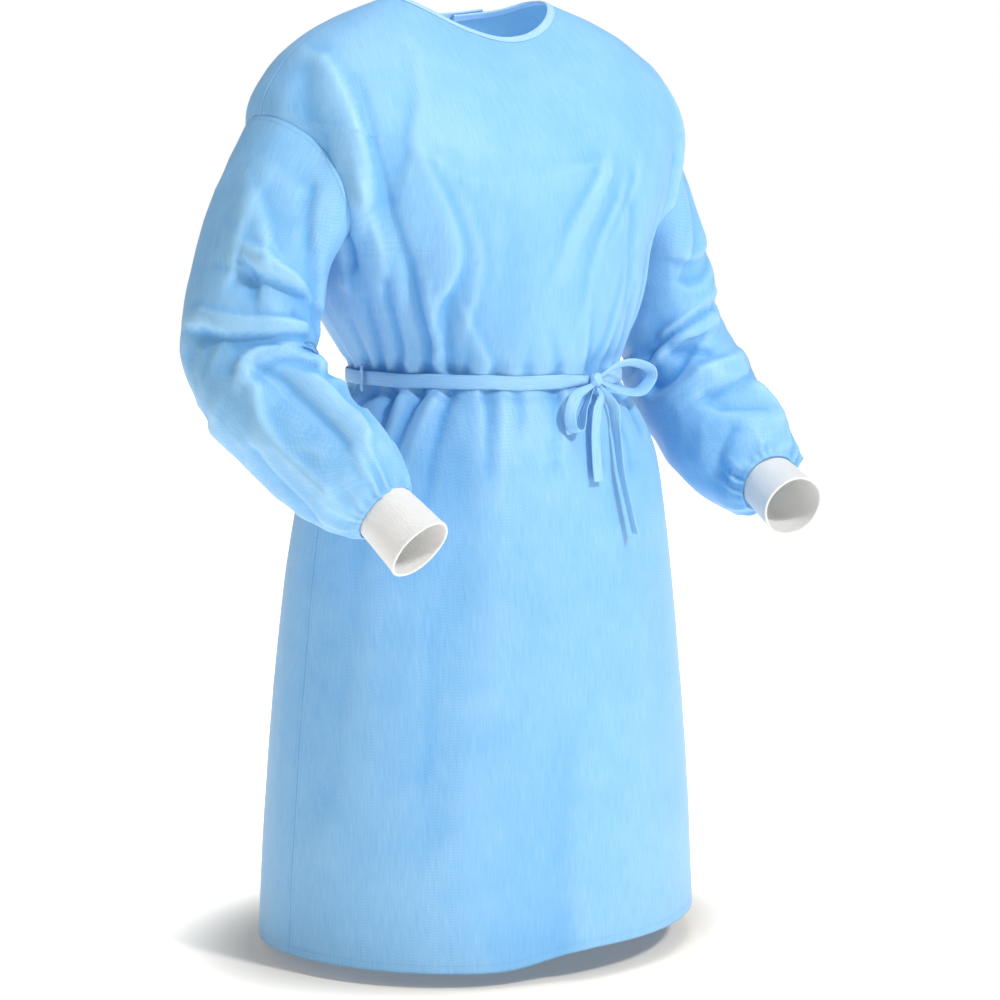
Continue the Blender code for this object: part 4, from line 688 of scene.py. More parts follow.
def wrinkles(points, table, first, second, side=0):
    """Height of the small wrinkles: crumpled facets of each size in the table, higher by the shares first and second
    of what the table's two places add. side gives each sleeve a noise of its own."""
    total = 0.0
    for size, seed, shift, plain, at_first, at_second in table:
        height = plain + at_first * first + at_second * second
        total = total + height * crumple(points + [0.0, 0.0, shift], size, seed + side)
    return settings().wrinkles * total


def soft_limit(height, limit):
    """Keeps troughs that lie on one another from adding up to more than the limit."""
    return np.where(height < 0, limit * np.tanh(height / limit), height)


def crease_shade(height):
    """-1 in the bottom of a crease and 1 on a crest, from the height over the plain form and over its surroundings."""
    # The result paints shade into the creases and highlight onto the crests of the cloth's colour.
    wide = np.pad(height, 2, mode="edge")
    rows, columns = height.shape
    around = sum(wide[r : r + rows, c : c + columns] for r in (0, 2, 4) for c in (0, 2, 4)) / 9
    return np.tanh(height / CREASE_DEPTH) * 0.5 + np.tanh((height - around) / CREASE_STEP) * 0.5


def body_height(angle, ring):
    """Height of the folds and wrinkles over the plain body: fewer on the skirt, more at the waist and the armholes."""
    points = body_base(angle, ring)
    height = BODY_FOLD_STRENGTH * settings().folds * fold_height(points, ALL_BODY_FOLDS, body_base, HEM_RING)
    waist = bell(ring, BELT_RING, WAIST_WRINKLE_RINGS)
    chest = bell(ring, CHEST_WRINKLE_RING, CHEST_WRINKLE_RINGS) * eased(np.abs(angle), *CHEST_WRINKLE_ANGLES)
    height = height + wrinkles(points * BODY_WRINKLE_STRETCH, BODY_WRINKLES, waist, chest)
    from_belt = smooth_step((np.abs(ring - BELT_RING) - 0.5) / BELT_HOLD_RINGS)
    return soft_limit(np.where(height > 0, height * from_belt, height), BODY_FOLD_LIMIT)


def body_folded(angle, ring):
    """Point of the body's outer face: the plain body moved along its normal by the height of the folds."""
    angle, ring = np.broadcast_arrays(np.asarray(angle, float), np.asarray(ring, float))
    normals = plain_normals(body_base, angle, ring, HEM_RING)
    return body_base(angle, ring) + normals * body_height(angle, ring)[..., None]


def sleeve_frame(table, row):
    """Centre, outer direction, front direction and way along the arm at a row of a sleeve's table."""
    row = np.asarray(row, float)
    centres = np.stack([column(table, SLEEVE_COLUMNS, name) for name in ("x", "y", "z")], axis=-1)
    last = len(table) - 1
    before, after = np.clip(row - SLOPE_STEP, 0, last), np.clip(row + SLOPE_STEP, 0, last)
    way = unit(smooth_through(centres, after) - smooth_through(centres, before))
    start = np.clip(1 - row / 2.0, 0, 1)[..., None] ** 2
    way = unit(way * (1 - start) + np.array(SLEEVE_START_WAY) * start)
    outer = np.array(SLEEVE_OUTER)
    outer = unit(outer - (way @ outer)[..., None] * way)
    return smooth_through(centres, row), outer, np.cross(way, outer), way


def sleeve_table(side):
    return LEFT_SLEEVE if side > 0 else RIGHT_SLEEVE


def sleeve_tube(side, turn, row):
    """Round sections along the arm: turn is 0 on the outer side, 90 at the front and 180 towards the body."""
    table = sleeve_table(side)
    centre, outer, front, _ = sleeve_frame(table, row)
    across = smooth_through(column(table, SLEEVE_COLUMNS, "across"), row)[..., None]
    along = smooth_through(column(table, SLEEVE_COLUMNS, "along"), row)[..., None]
    turn = np.radians(turn)[..., None]
    return (centre + outer * along * np.cos(turn) + front * across * np.sin(turn)) * [side, 1, 1]


def sleeve_base(side, turn, row):
    """Point of a sleeve: the armhole seam eases into round sections along the arm."""
    turn, row = np.broadcast_arrays(np.asarray(turn, float), np.asarray(row, float))
    share = np.clip(1 - row / SLEEVE_BLEND_ROWS, 0, 1)[..., None] ** 2
    angle, ring = armhole(turn)
    start = sleeve_tube(side, turn, np.zeros_like(row))
    return sleeve_tube(side, turn, row) + share * (body_folded(side * angle, ring) - start)


def sleeve_normals(side, turn, row):
    last = len(sleeve_table(side)) - 1.0
    normals = plain_normals(lambda first, second: sleeve_tube(side, first, second), turn, row, last)
    return -side * normals


def cuff_gathers(side, turn, from_cuff):
    """Height of the gathers at a cuff, for rows counted back from its seam: waves round the arm with narrow troughs,
    which sway along it, and finer waves between them near the seam. They rise over the last rows and flatten a little
    just before the seam, and a slow wave round the arm makes them uneven."""
    rise = smooth_step((CUFF_GATHER_ROWS - from_cuff) / CUFF_GATHER_ROWS * 1.3)
    rise *= 0.35 + 0.65 * smooth_step(from_cuff / 0.55)
    circle = np.radians(turn)
    sway = 0.9 * np.sin(circle * 2 + 1.0) + 0.7 * np.sin(circle * 5 + side) + 0.35 * from_cuff * np.sin(circle * 3)
    uneven = 0.66 + 0.34 * np.sin(circle * 3 + 1.0 + side)
    fine = 0.30 * np.cos(circle * CUFF_GATHERS * 2.0 + 2.2 * sway) * smooth_step((1.1 - from_cuff) / 1.1)
    wave = 1.0 - 2.0 * np.abs(np.sin(circle * CUFF_GATHERS / 2 + sway)) ** 0.8
    return settings().cuff_gathers * rise * (uneven * wave + fine)


def sleeve_folded(side, turn, row):
    """Point of a sleeve's outer face with its folds, its wrinkles and the gathers at the cuff, and its creases'
    painted shade and highlight: all these heights are added up and move the point along its normal."""
    turn, row = np.broadcast_arrays(np.asarray(turn, float), np.asarray(row, float))
    points = sleeve_base(side, turn, row)
    table = LEFT_SLEEVE_FOLDS if side > 0 else RIGHT_SLEEVE_FOLDS
    last = len(sleeve_table(side)) - 1.0
    height = fold_height(points, table, lambda first, second: sleeve_base(side, first % 360, second), last)
    height *= SLEEVE_FOLD_STRENGTH * settings().folds
    elbow = bell(row, ELBOW_WRINKLE_ROW, ELBOW_WRINKLE_ROWS)
    height += wrinkles(points, SLEEVE_WRINKLES, elbow, eased(row, *FOREARM_WRINKLE_ROWS), side)
    height *= smooth_step(row / SLEEVE_HEAD_ROWS)
    height = soft_limit(height + cuff_gathers(side, turn, last - row), SLEEVE_FOLD_LIMIT)
    return points + sleeve_normals(side, turn, row) * height[..., None], crease_shade(height)


def waist_frame(angle):
    """Point on the belt line with the directions to the wearer's left, up and out from the body."""
    point = body_base(angle, BELT_RING)
    out = plain_normals(body_base, angle, BELT_RING, HEM_RING)
    up = np.array([0.0, 0.0, 1.0])
    out = unit(out - up * (out @ up))
    return point, np.cross(up, out), up, out


def body_reach(points, out):
    """How far out the body's face lies beside each point, at the point's own height and angle."""
    rings = np.linspace(BELT_RING - 2.0, HEM_RING, 200)
    angle = np.degrees(np.arctan2(points[:, 0], -points[:, 1]))
    heights = body_base(KNOT_ANGLE, rings)[:, 2]
    ring = np.interp(-points[:, 2], -heights, rings)
    return (body_base(angle, ring) - points) @ out


def lengths_along(points, axis):
    """Running length over a grid of points along one of its two directions, starting from 0."""
    steps = np.linalg.norm(np.diff(points, axis=axis), axis=-1)
    start = np.zeros_like(np.take(steps, [0], axis=axis))
    return np.concatenate([start, np.cumsum(steps, axis=axis)], axis=axis)


def length_of_middle(points):
    """Length of a ribbon along its middle row of points."""
    return float(np.linalg.norm(np.diff(points[points.shape[0] // 2], axis=0), axis=-1).sum())


def from_edges(lengths):
    """Distance to the nearer of the two edges, from running lengths that start at the first one."""
    return np.minimum(lengths, lengths[-1:] - lengths)


def seam_sink(seam):
    """How far cloth sinks beside a sewn edge: a groove that falls off as a bell of the distance from it."""
    return settings().seam_depth * bell(seam, 0.0, SEAM_GROOVE)


def put_grid(name, points, channels, finish, wall=None, closed=False, flip=False, looped=False, poles=False):
    """Makes a mesh of a grid of points, with a UV map in metres from channels u and v, and the other channels as
    attributes. closed joins its last column to its first, looped its last row to its first, and poles merges the
    points of a row that has shrunk to one place. wall is the cloth's thickness, inwards from the grid."""
    old = bpy.data.objects.get(name)
    if old:
        bpy.data.objects.remove(old, do_unlink=True)
    rows, columns = points.shape[:2]
    index = np.arange(rows * columns).reshape(rows, columns)
    if closed:
        index = np.concatenate([index, index[:, :1]], axis=1)
    if looped:
        index = np.concatenate([index, index[:1]], axis=0)
    quads = np.stack([index[:-1, :-1], index[:-1, 1:], index[1:, 1:], index[1:, :-1]], axis=-1).reshape(-1, 4)
    if flip:
        quads = quads[:, ::-1]
    mesh = bpy.data.meshes.new(name)
    mesh.from_pydata(points.reshape(-1, 3), [], quads.tolist())
    u, v = channels.pop("u"), channels.pop("v")
    span = index.shape[1] - 1
    depth = index.shape[0] - 1
    place = np.stack(np.meshgrid(np.arange(depth), np.arange(span), indexing="ij"), axis=-1).reshape(-1, 1, 2)
    corners = place + np.array([[0, 0], [0, 1], [1, 1], [1, 0]])
    if flip:
        corners = corners[:, ::-1]
    if closed:
        u = np.concatenate([u, u[:, -1:] + (u[:, -1:] - u[:, -2:-1])], axis=1)
        v = np.concatenate([v, v[:, :1]], axis=1)
    if looped:
        u, v = np.concatenate([u, u[-1:]]), np.concatenate([v, v[-1:]])
    flat = np.stack([u, v], axis=-1)[corners[..., 0], corners[..., 1]].reshape(-1)
    mesh.uv_layers.new(name="cloth").data.foreach_set("uv", flat.astype(np.float32))
    for channel, values in channels.items():
        layer = mesh.attributes.new(channel, "FLOAT", "POINT")
        layer.data.foreach_set("value", np.ascontiguousarray(values, np.float32).reshape(-1))
    mesh.polygons.foreach_set("use_smooth", np.ones(len(mesh.polygons), bool))
    mesh.materials.append(finish)
    if poles:
        shell = bmesh.new()
        shell.from_mesh(mesh)
        bmesh.ops.remove_doubles(shell, verts=shell.verts, dist=1e-6)
        shell.to_mesh(mesh)
        shell.free()
    made = bpy.data.objects.new(name, mesh)
    bpy.context.scene.collection.objects.link(made)
    if wall:
        solid = made.modifiers.new("wall", "SOLIDIFY")
        solid.thickness = wall
        solid.offset = -1.0
        solid.use_even_offset = False
        solid.use_quality_normals = True
    mesh.update()
    return made


def stand_for(made, node, slot, flat=None, held="gathered", rests_on=(), area=None):
    """Hands a finished piece over: it rides on the gown's one body and takes the solid's place."""
    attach(made, "root")
    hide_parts(node)


class Signal:
    """A number inside a material. Sums, products and the like of signals add Math nodes."""

    def __init__(self, finish, socket):
        self.finish = finish
        self.socket = socket

    def maths(self, operation, *values):
        return self.finish.add("ShaderNodeMath", {"operation": operation}, dict(enumerate(values)))

    def __add__(self, other):
        return self.maths("ADD", self, other)

    __radd__ = __add__

    def __sub__(self, other):
        return self.maths("SUBTRACT", self, other)

    def __rsub__(self, other):
        return self.maths("SUBTRACT", other, self)

    def __mul__(self, other):
        return self.maths("MULTIPLY", self, other)

    __rmul__ = __mul__

    def __abs__(self):
        return self.maths("ABSOLUTE", self)

    def sine(self):
        return self.maths("SINE", self)

    def rising(self, low, high):
        """0 below low and 1 above high, eased between them."""
        settings_of = {"interpolation_type": "SMOOTHSTEP"}
        return self.finish.add("ShaderNodeMapRange", settings_of, {"Value": self, "From Min": low, "From Max": high})

    def line(self, middle, half_width):
        """1 on a line where this signal has the value middle, falling to 0 at the half width on both sides."""
        return 1 - abs(self - middle).rising(0.0, half_width)


class Finish:
    """A material with one Principled shader, and the one method that adds every other node."""

    def __init__(self, name, colour, **constants):
        old = bpy.data.materials.get(name)
        self.made = old or bpy.data.materials.new(name)
        self.made.use_nodes = True
        self.tree = self.made.node_tree
        self.tree.nodes.clear()
        self.shader = self.tree.nodes.new("ShaderNodeBsdfPrincipled")
        output = self.tree.nodes.new("ShaderNodeOutputMaterial")
        self.tree.links.new(self.shader.outputs["BSDF"], output.inputs["Surface"])
        self.shader.inputs["Base Color"].default_value = (*colour, 1.0)
        for name, value in constants.items():
            self.shader.inputs[name.replace("_", " ").title().replace("Ior", "IOR")].default_value = value

    def add(self, kind, settings_of, values, output=0):
        """Adds a node: its settings are set first, then its sockets take the values or links."""
        node = self.tree.nodes.new(kind)
        for name, value in settings_of.items():
            setattr(node, name, value)
        for name, value in values.items():
            socket = node.inputs[name]
            if isinstance(value, Signal):
                self.tree.links.new(value.socket, socket)
            else:
                socket.default_value = value
        return Signal(self, node.outputs[output])

    def channel(self, name):
        return self.add("ShaderNodeAttribute", {"attribute_name": name}, {}, "Fac")

    def cloth_place(self):
        """The piece's own flat coordinates in metres, across and along."""
        uv = self.add("ShaderNodeUVMap", {"uv_map": "cloth"}, {})
        return (self.add("ShaderNodeSeparateXYZ", {}, {0: uv}, way) for way in "XY")

    def noise(self, vector, scale, detail=2.0, roughness=0.5):
        values = {"Vector": vector, "Scale": scale, "Detail": detail, "Roughness": roughness}
        return self.add("ShaderNodeTexNoise", {}, values)

    def blend_colours(self, share, first, second):
        """A Mix node's sockets for colours have the same names as those for numbers, so they are given by place."""
        return self.add("ShaderNodeMix", {"data_type": "RGBA"}, {0: share, 6: first, 7: second}, 2)

    def set(self, name, signal):
        self.tree.links.new(signal.socket, self.shader.inputs[name])

    def raise_surface(self, heights):
        """Chains bump nodes: heights is a list of a height signal and the real height of its step in metres."""
        normal = None
        for height, distance in heights:
            values = {"Height": height, "Distance": distance, "Strength": 1.0}
            if normal is not None:
                values["Normal"] = normal
            normal = self.add("ShaderNodeBump", {}, values)
        self.set("Normal", normal)


def shade(colour, factor):
    return (*(part * share for part, share in zip(colour, factor)), 1.0)


def stitches(edge, place, run):
    """Stitched line at this distance from an edge: it grows fainter and stronger again with each stitch of its run."""
    dashes = 0.65 + 0.35 * (run * (2 * math.pi / settings().stitch)).sine()
    return edge.line(place, STITCH_HALF_WIDTH) * dashes


def nonwoven(name, colour, seams=False, hem=False, tape=False):
    """Pressed nonwoven: small diamond dots, fine threads along the cloth and a soft uneven sheen. Where the mesh has
    seam and hem channels, the seam allowance and the hem show as a thicker band, with a stitched line at its edge."""
    own = settings()
    gloss = {"roughness": 0.50, "specular_ior_level": 0.45, "sheen_weight": own.sheen, "sheen_roughness": 0.38}
    finish = Finish(name, colour, **gloss)
    place = finish.add("ShaderNodeTexCoord", {}, {}, "Object")
    across, along = finish.cloth_place()
    turn = math.pi / own.dot_pitch
    sway = finish.noise(place, 22.0, 1.0, 0.5) * 0.004
    across, along = across + sway, along + sway * 0.6
    dots = (abs(((across + along) * turn).sine()) * abs(((across - along) * turn).sine())).rising(0.45, 0.95)
    stretched = finish.add("ShaderNodeCombineXYZ", {}, {"X": across * 620.0, "Y": along * 34.0, "Z": 0.0})
    threads = finish.noise(stretched, 1.0, 3.0, 0.6)
    mottle = finish.noise(place, 16.0, 3.0, 0.55)
    dents = finish.noise(place, 42.0, 2.0, 0.6)
    light = 0.56 * threads + 0.22 * mottle + 0.18 * dots + 0.05
    heights = [(mottle, 0.0012), (dents, 0.0007), (threads, 0.00010), (dots, 0.00005)]
    if seams:
        # Painted shade and highlight: the crease channel darkens the colour in the creases and pales it on the crests.
        light = light + own.crease_shade * finish.channel("crease")
        seam = finish.channel("seam")
        band = 1 - seam.rising(SEAM_BAND, SEAM_BAND * 1.2)
        stitch = stitches(seam, SEAM_STITCH, along)
        heights += [(band, 0.00022), (1 - stitch, 0.00025)]
        light = light - 0.20 * stitch - 0.30 * (1 - seam.rising(0.0, 0.0012))
    if hem:
        low = finish.channel("hem")
        fold = 1 - low.rising(own.hem_width, own.hem_width + 0.0012)
        stitch = stitches(low, own.hem_width - HEM_STITCH, across)
        heights += [(fold, 0.00025), (1 - stitch, 0.00030)]
        light = light - 0.22 * stitch
    if tape:
        edge = finish.channel("edge")
        fold = edge.line(TAPE_FOLD, TAPE_FOLD / 4)
        heights += [(1 - fold, 0.00012)]
        light = light - 0.10 * fold
    dark, pale = shade(colour, CLOTH_DARK), shade(colour, CLOTH_PALE)
    finish.set("Base Color", finish.blend_colours(light.rising(0.0, 0.95), dark, pale))
    finish.set("Roughness", 0.44 + 0.16 * mottle - 0.08 * dots)
    finish.raise_surface(heights)
    return finish.made


def rib_knit(name, colour):
    """Fine rib knit: narrow ribs along the cuff, each a column of small stitches."""
    own = settings()
    finish = Finish(name, colour, roughness=0.86, specular_ior_level=0.2, sheen_weight=0.25)
    place = finish.add("ShaderNodeTexCoord", {}, {}, "Object")
    across, along = finish.cloth_place()
    rib = (across * (2 * math.pi / own.rib_pitch)).sine()
    stitches = (along * (2 * math.pi / (own.rib_pitch * 0.8)) + abs(rib) * 1.6).sine()
    soft = finish.noise(place, 60.0, 3.0, 0.6)
    fuzz = finish.noise(place, 900.0, 2.0, 0.6)
    light = 0.5 + 0.16 * rib + 0.08 * stitches + 0.3 * (soft - 0.5) + 0.15 * (fuzz - 0.5)
    dark, pale = shade(colour, KNIT_DARK), shade(colour, KNIT_PALE)
    finish.set("Base Color", finish.blend_colours(light.rising(0.1, 0.9), dark, pale))
    finish.raise_surface([(soft, 0.0006), (rib, 0.00016), (stitches, 0.00006), (fuzz, 0.00005)])
    return finish.made


def panel_rows():
    """Rings of the panels' rows, close together at the armholes and the belt."""
    turns = np.linspace(0.0, 180.0, ARMHOLE_STEPS + 1)
    return np.concatenate([UPPER_ROWS, armhole(turns)[1], LOWER_ROWS])[:, None]


def panel(name, angles, rows, free_edges, tuck=None):
    """A body panel: its outer face on a grid of angles and rings, moved along the plain body's normals by the height
    of the folds, less the tuck of the inner layer. Its sewn edges sink a little into the seam."""
    rows = rows * np.ones_like(angles)
    height = body_height(angles, rows)
    out = plain_normals(body_base, angles, rows, HEM_RING)
    points = body_base(angles, rows) + out * height[..., None]
    if tuck is not None:
        points = points - out * tuck[..., None]
    across = lengths_along(points, 1)
    along = lengths_along(points, 0)
    seam = np.full_like(across, 1.0)
    if not free_edges[0]:
        seam = np.minimum(seam, across)
    if not free_edges[1]:
        seam = np.minimum(seam, across[:, -1:] - across)
    in_armhole = (rows > ARMHOLE_TOP_RING - 0.01) & (rows < UNDERARM_RING + 0.01)
    sink = np.where(in_armhole & (seam < ON_EDGE), 0.0, seam_sink(seam))
    points = points - out * sink[..., None]
    middle = across[:, across.shape[1] // 2][:, None]
    channels = {"u": across - middle, "v": along, "seam": seam, "hem": along[-1:] - along}
    # The crease channel carries painted shade for the creases and painted highlight for the crests.
    channels["crease"] = crease_shade(height)
    return put_grid(name, points, channels, cloth_finish(), settings().wall, flip=True)


def with_seam_columns(angles, first, last):
    """Adds two narrow columns beside each sewn edge, so that the seam's groove has points of its own."""
    share = np.linspace(0.0, 1.0, angles.shape[1])
    step = share[1] * min(SEAM_COLUMN_ANGLE / abs(angles[0, 1] - angles[0, 0]), SEAM_COLUMN_LIMIT)
    pair = np.array([step, step * SEAM_COLUMN_SECOND])
    extra = [pair] * first + [1 - pair] * last
    wanted = np.sort(np.concatenate([share, *extra]))
    return np.stack([np.interp(wanted, share, row) for row in angles])


def cloth_finish():
    """The gown's cloth, made once and shared by the panels and the sleeves."""
    return bpy.data.materials.get("blue nonwoven") or nonwoven(
        "blue nonwoven", tuple(settings().cloth), seams=True, hem=True
    )


def tape_finish():
    """The belt's tape: the same nonwoven, folded, with its fold line near the edge."""
    return bpy.data.materials.get("folded tape") or nonwoven("folded tape", tuple(settings().tape), tape=True)


class GownSettings(bpy.types.PropertyGroup):
    """Sizes and colours of the gown that a user would change."""

    cloth: bpy.props.FloatVectorProperty(
        name="Cloth", description="Colour of the nonwoven", subtype="COLOR", size=3, min=0, max=1, default=CLOTH
    )
    tape: bpy.props.FloatVectorProperty(
        name="Tape", description="Colour of the belt and bow", subtype="COLOR", size=3, min=0, max=1, default=TAPE
    )
    binding: bpy.props.FloatVectorProperty(
        name="Binding", description="Colour of the binding", subtype="COLOR", size=3, min=0, max=1, default=BINDING
    )
    knit: bpy.props.FloatVectorProperty(
        name="Knit", description="Colour of the cuffs", subtype="COLOR", size=3, min=0, max=1, default=KNIT
    )
    wall: bpy.props.FloatProperty(
        name="Cloth wall", description="Thickness of the cloth shells", default=0.0008, unit="LENGTH", precision=5
    )
    wrinkles: bpy.props.FloatProperty(
        name="Wrinkles", description="Strength of the small wrinkles", default=1.0, min=0, max=3, subtype="FACTOR"
    )
    cuff_gathers: bpy.props.FloatProperty(
        name="Cuff gathers", description="Height of the cuffs' gathers", default=0.0042, unit="LENGTH", precision=5
    )
    seam_depth: bpy.props.FloatProperty(
        name="Seam depth", description="How far cloth sinks into a seam", default=0.0005, unit="LENGTH", precision=5
    )
    dot_pitch: bpy.props.FloatProperty(
        name="Dot pitch", description="Distance of the pressed dots", default=0.0034, unit="LENGTH", precision=5
    )
    stitch: bpy.props.FloatProperty(
        name="Stitch", description="Length of a stitch", default=0.0034, unit="LENGTH", precision=5
    )
    hem_width: bpy.props.FloatProperty(
        name="Hem width", description="Height of the sewn hem", default=0.011, unit="LENGTH", precision=5
    )
    rib_pitch: bpy.props.FloatProperty(
        name="Rib pitch", description="Distance of the cuff's ribs", default=0.0021, unit="LENGTH", precision=5
    )
    folds: bpy.props.FloatProperty(
        name="Folds", description="Strength of the main folds", default=1.0, min=0, max=2, subtype="FACTOR"
    )
    # Painted shade in the creases and painted highlight on the crests: how strongly they change the cloth's colour.
    crease_shade: bpy.props.FloatProperty(
        name="Crease shade", description="How much darker creases are", default=0.32, min=0, max=1, subtype="FACTOR"
    )
    sheen: bpy.props.FloatProperty(
        name="Sheen", description="Soft edge shine of the cloth", default=0.10, min=0, max=1, subtype="FACTOR"
    )


def settings():
    return bpy.context.scene.gown


class GOWN_OT_front(bpy.types.Operator):
    """Make the front panel, gathered by the belt"""

    bl_idname = "gown.front"
    bl_label = "Front panel"

    def execute(self, context):
        rows = panel_rows()
        limit = 90 - side_limit(rows, ARMHOLE_FRONT_SWEEP)
        angles = narrowed(np.linspace(-90, 90, FRONT_STEPS + 1)[None, :], limit)
        made = panel("gown_front", with_seam_columns(angles, True, True), rows, (False, False))
        stand_for(made, "front_panel", "cloth", rests_on=PANEL_RESTS, **FRONT_CUT)
        return {"FINISHED"}


class GOWN_OT_backs(bpy.types.Operator):
    """Make the two back panels: the right one lies over the left one"""

    bl_idname = "gown.backs"
    bl_label = "Back panels"

    def execute(self, context):
        rows = panel_rows()
        angles = -back_angles(end_angles(OUTER_BACK_END, rows), rows, RIGHT_BACK_STEPS)
        angles = with_seam_columns(angles, True, False)[:, ::-1]
        made = panel("gown_back_right", angles, rows, (True, False))
        stand_for(made, "right_back_panel", "cloth", rests_on=PANEL_RESTS, **BACK_RIGHT_CUT)
        angles = back_angles(end_angles(INNER_BACK_END, rows), rows, LEFT_BACK_STEPS)
        angles = with_seam_columns(angles, True, False)
        tuck = layer_tuck(angles, rows * np.ones_like(angles))
        made = panel("gown_back_left", angles, rows, (False, True), tuck)
        stand_for(made, "left_back_panel", "cloth", rests_on=PANEL_RESTS, **BACK_LEFT_CUT)
        return {"FINISHED"}


class GOWN_OT_sleeves(bpy.types.Operator):
    """Make the two sleeves from the armhole seam to the cuff seam"""

    bl_idname = "gown.sleeves"
    bl_label = "Sleeves"

    def execute(self, context):
        turns = np.arange(2 * ARMHOLE_STEPS) * (180.0 / ARMHOLE_STEPS)
        turn, row = np.meshgrid(turns, SLEEVE_ROWS)
        for word, side in SIDES:
            points, crease = sleeve_folded(side, turn, row)
            along = lengths_along(points, 0)
            seam = from_edges(along)
            sink = seam_sink(seam) * (seam > ON_EDGE)
            points = points - sleeve_normals(side, turn, row) * sink[..., None]
            channels = {"u": lengths_along(points, 1), "v": along, "seam": seam, "hem": np.ones_like(along)}
            # The crease channel carries painted shade for the creases and painted highlight for the crests.
            channels["crease"] = crease
            name = "gown_sleeve_" + word
            made = put_grid(name, points, channels, cloth_finish(), settings().wall, closed=True, flip=side < 0)
            stand_for(made, word + "_sleeve", "cloth", rests_on=["front_panel", word + "_cuff"], **SLEEVE_CUT)
        return {"FINISHED"}


def cuff_profile():
    """Way along the cuff and radius of its profile: along the outside to the rim, round it as half a circle, and back
    along the inside, past the seam. The radius grows evenly to the opening, and a bell near it raises the rim."""
    half = KNIT_WALL / 2
    bend = np.linspace(0, math.pi, CUFF_RIM_STEPS)[1:-1]
    run = np.linspace(0, 1, CUFF_LENGTH_STEPS)
    turned = CUFF_LENGTH - half
    outside = [run * turned, turned + CUFF_RIM_ROUND * half * np.sin(bend)]
    along = np.concatenate(outside + [turned - run * (turned + CUFF_INSIDE)])
    inward = np.concatenate([np.zeros(len(run)), half - half * np.cos(bend), np.full(len(run), 2 * half)])
    rim = CUFF_RIM_HEIGHT * bell(along, CUFF_LENGTH - CUFF_RIM_FROM_END, CUFF_RIM_WIDTH) * np.sign(half - inward)
    radius = CUFF_SEAM_RADIUS + (CUFF_OPENING_RADIUS - CUFF_SEAM_RADIUS) * along / CUFF_LENGTH
    return along, radius - CUFF_INSIDE_TAPER * np.maximum(-along, 0.0) + rim - inward


class GOWN_OT_cuffs(bpy.types.Operator):
    """Make the knit cuffs: a short ribbed tube with a rounded rim, turned back inside"""

    bl_idname = "gown.cuffs"
    bl_label = "Cuffs"

    def execute(self, context):
        finish = rib_knit("rib knit", tuple(settings().knit))
        along, radius = cuff_profile()
        turn = np.radians(np.arange(CUFF_TURNS) * (360.0 / CUFF_TURNS))[None, :]
        uneven = 0.0005 * np.sin(turn * 2 + 0.6) + 0.0003 * np.sin(turn * 5 + along[:, None] * 60)
        radius = radius[:, None] + uneven
        for word, side in SIDES:
            table = sleeve_table(side)
            centre, outer_way, front, way = sleeve_frame(table, np.array(len(table) - 1.0))
            spoke = outer_way * np.cos(turn)[..., None] + front * np.sin(turn)[..., None]
            axis = centre + way * (SEAM_GAP * 2 + along)[:, None, None]
            points = (axis + spoke * radius[..., None]) * [side, 1, 1]
            length = lengths_along(points, 0)
            channels = {"u": turn * CUFF_SEAM_RADIUS * np.ones_like(length), "v": length}
            made = put_grid("knit_cuff_" + word, points, channels, finish, closed=True, flip=side < 0, looped=True)
            flat = (2 * math.pi * CUFF_SEAM_RADIUS, CUFF_LENGTH + CUFF_INSIDE)
            stand_for(made, word + "_cuff", "knit", flat, "stretched", [word + "_sleeve"])
        return {"FINISHED"}


class GOWN_OT_binding(bpy.types.Operator):
    """Make the folded binding round the neck"""

    bl_idname = "gown.binding"
    bl_label = "Neck binding"

    def execute(self, context):
        finish = nonwoven("neck binding", tuple(settings().binding), tape=True)
        outer_back, inner_back = OUTER_BACK_END[0][1], INNER_BACK_END[0][1]
        angles = np.linspace(-outer_back, inner_back, NECK_STEPS + 1)
        tucks = layer_tuck(angles, 0.0)
        edge = body_folded(angles, 0.0)
        lower = body_folded(angles, BINDING_RING)
        edge_out = plain_normals(body_folded, angles, 0.0, HEM_RING)
        lower_out = plain_normals(body_folded, angles, BINDING_RING, HEM_RING)
        base_out = plain_normals(body_base, angles, 0.0, HEM_RING)
        edge = edge - base_out * tucks[:, None]
        lower = lower - base_out * layer_tuck(angles, BINDING_RING)[:, None]
        up = unit(edge - lower)
        share = np.linspace(0, 1, 9)[:, None, None]
        bend = np.linspace(0, math.pi, 9)[1:-1, None, None]
        half = CLOTH_WALL / 2 + SEAM_GAP + BINDING_WALL / 2
        middle = edge - edge_out * (CLOTH_WALL / 2)
        low_middle = lower - lower_out * (CLOTH_WALL / 2)
        puff = BINDING_PUFF * np.sin(share * math.pi)
        outside = low_middle + (middle - low_middle) * share
        outside = outside + (lower_out + (edge_out - lower_out) * share) * (half + puff)
        round_top = middle + edge_out * half * np.cos(bend) + up * half * np.sin(bend)
        inside = middle + (low_middle - middle) * share - (edge_out + (lower_out - edge_out) * share) * half
        points = np.concatenate([outside, round_top, inside])
        width = lengths_along(points, 0)
        channels = {"u": lengths_along(points, 1), "v": width, "edge": from_edges(width)}
        made = put_grid("neck_bind", points, channels, finish, BINDING_SHELL)
        flat = (BINDING_STRIP, length_of_middle(points))
        stand_for(made, "neck_binding", "binding", flat, "folded", ["front_panel", "right_back_panel"])
        return {"FINISHED"}


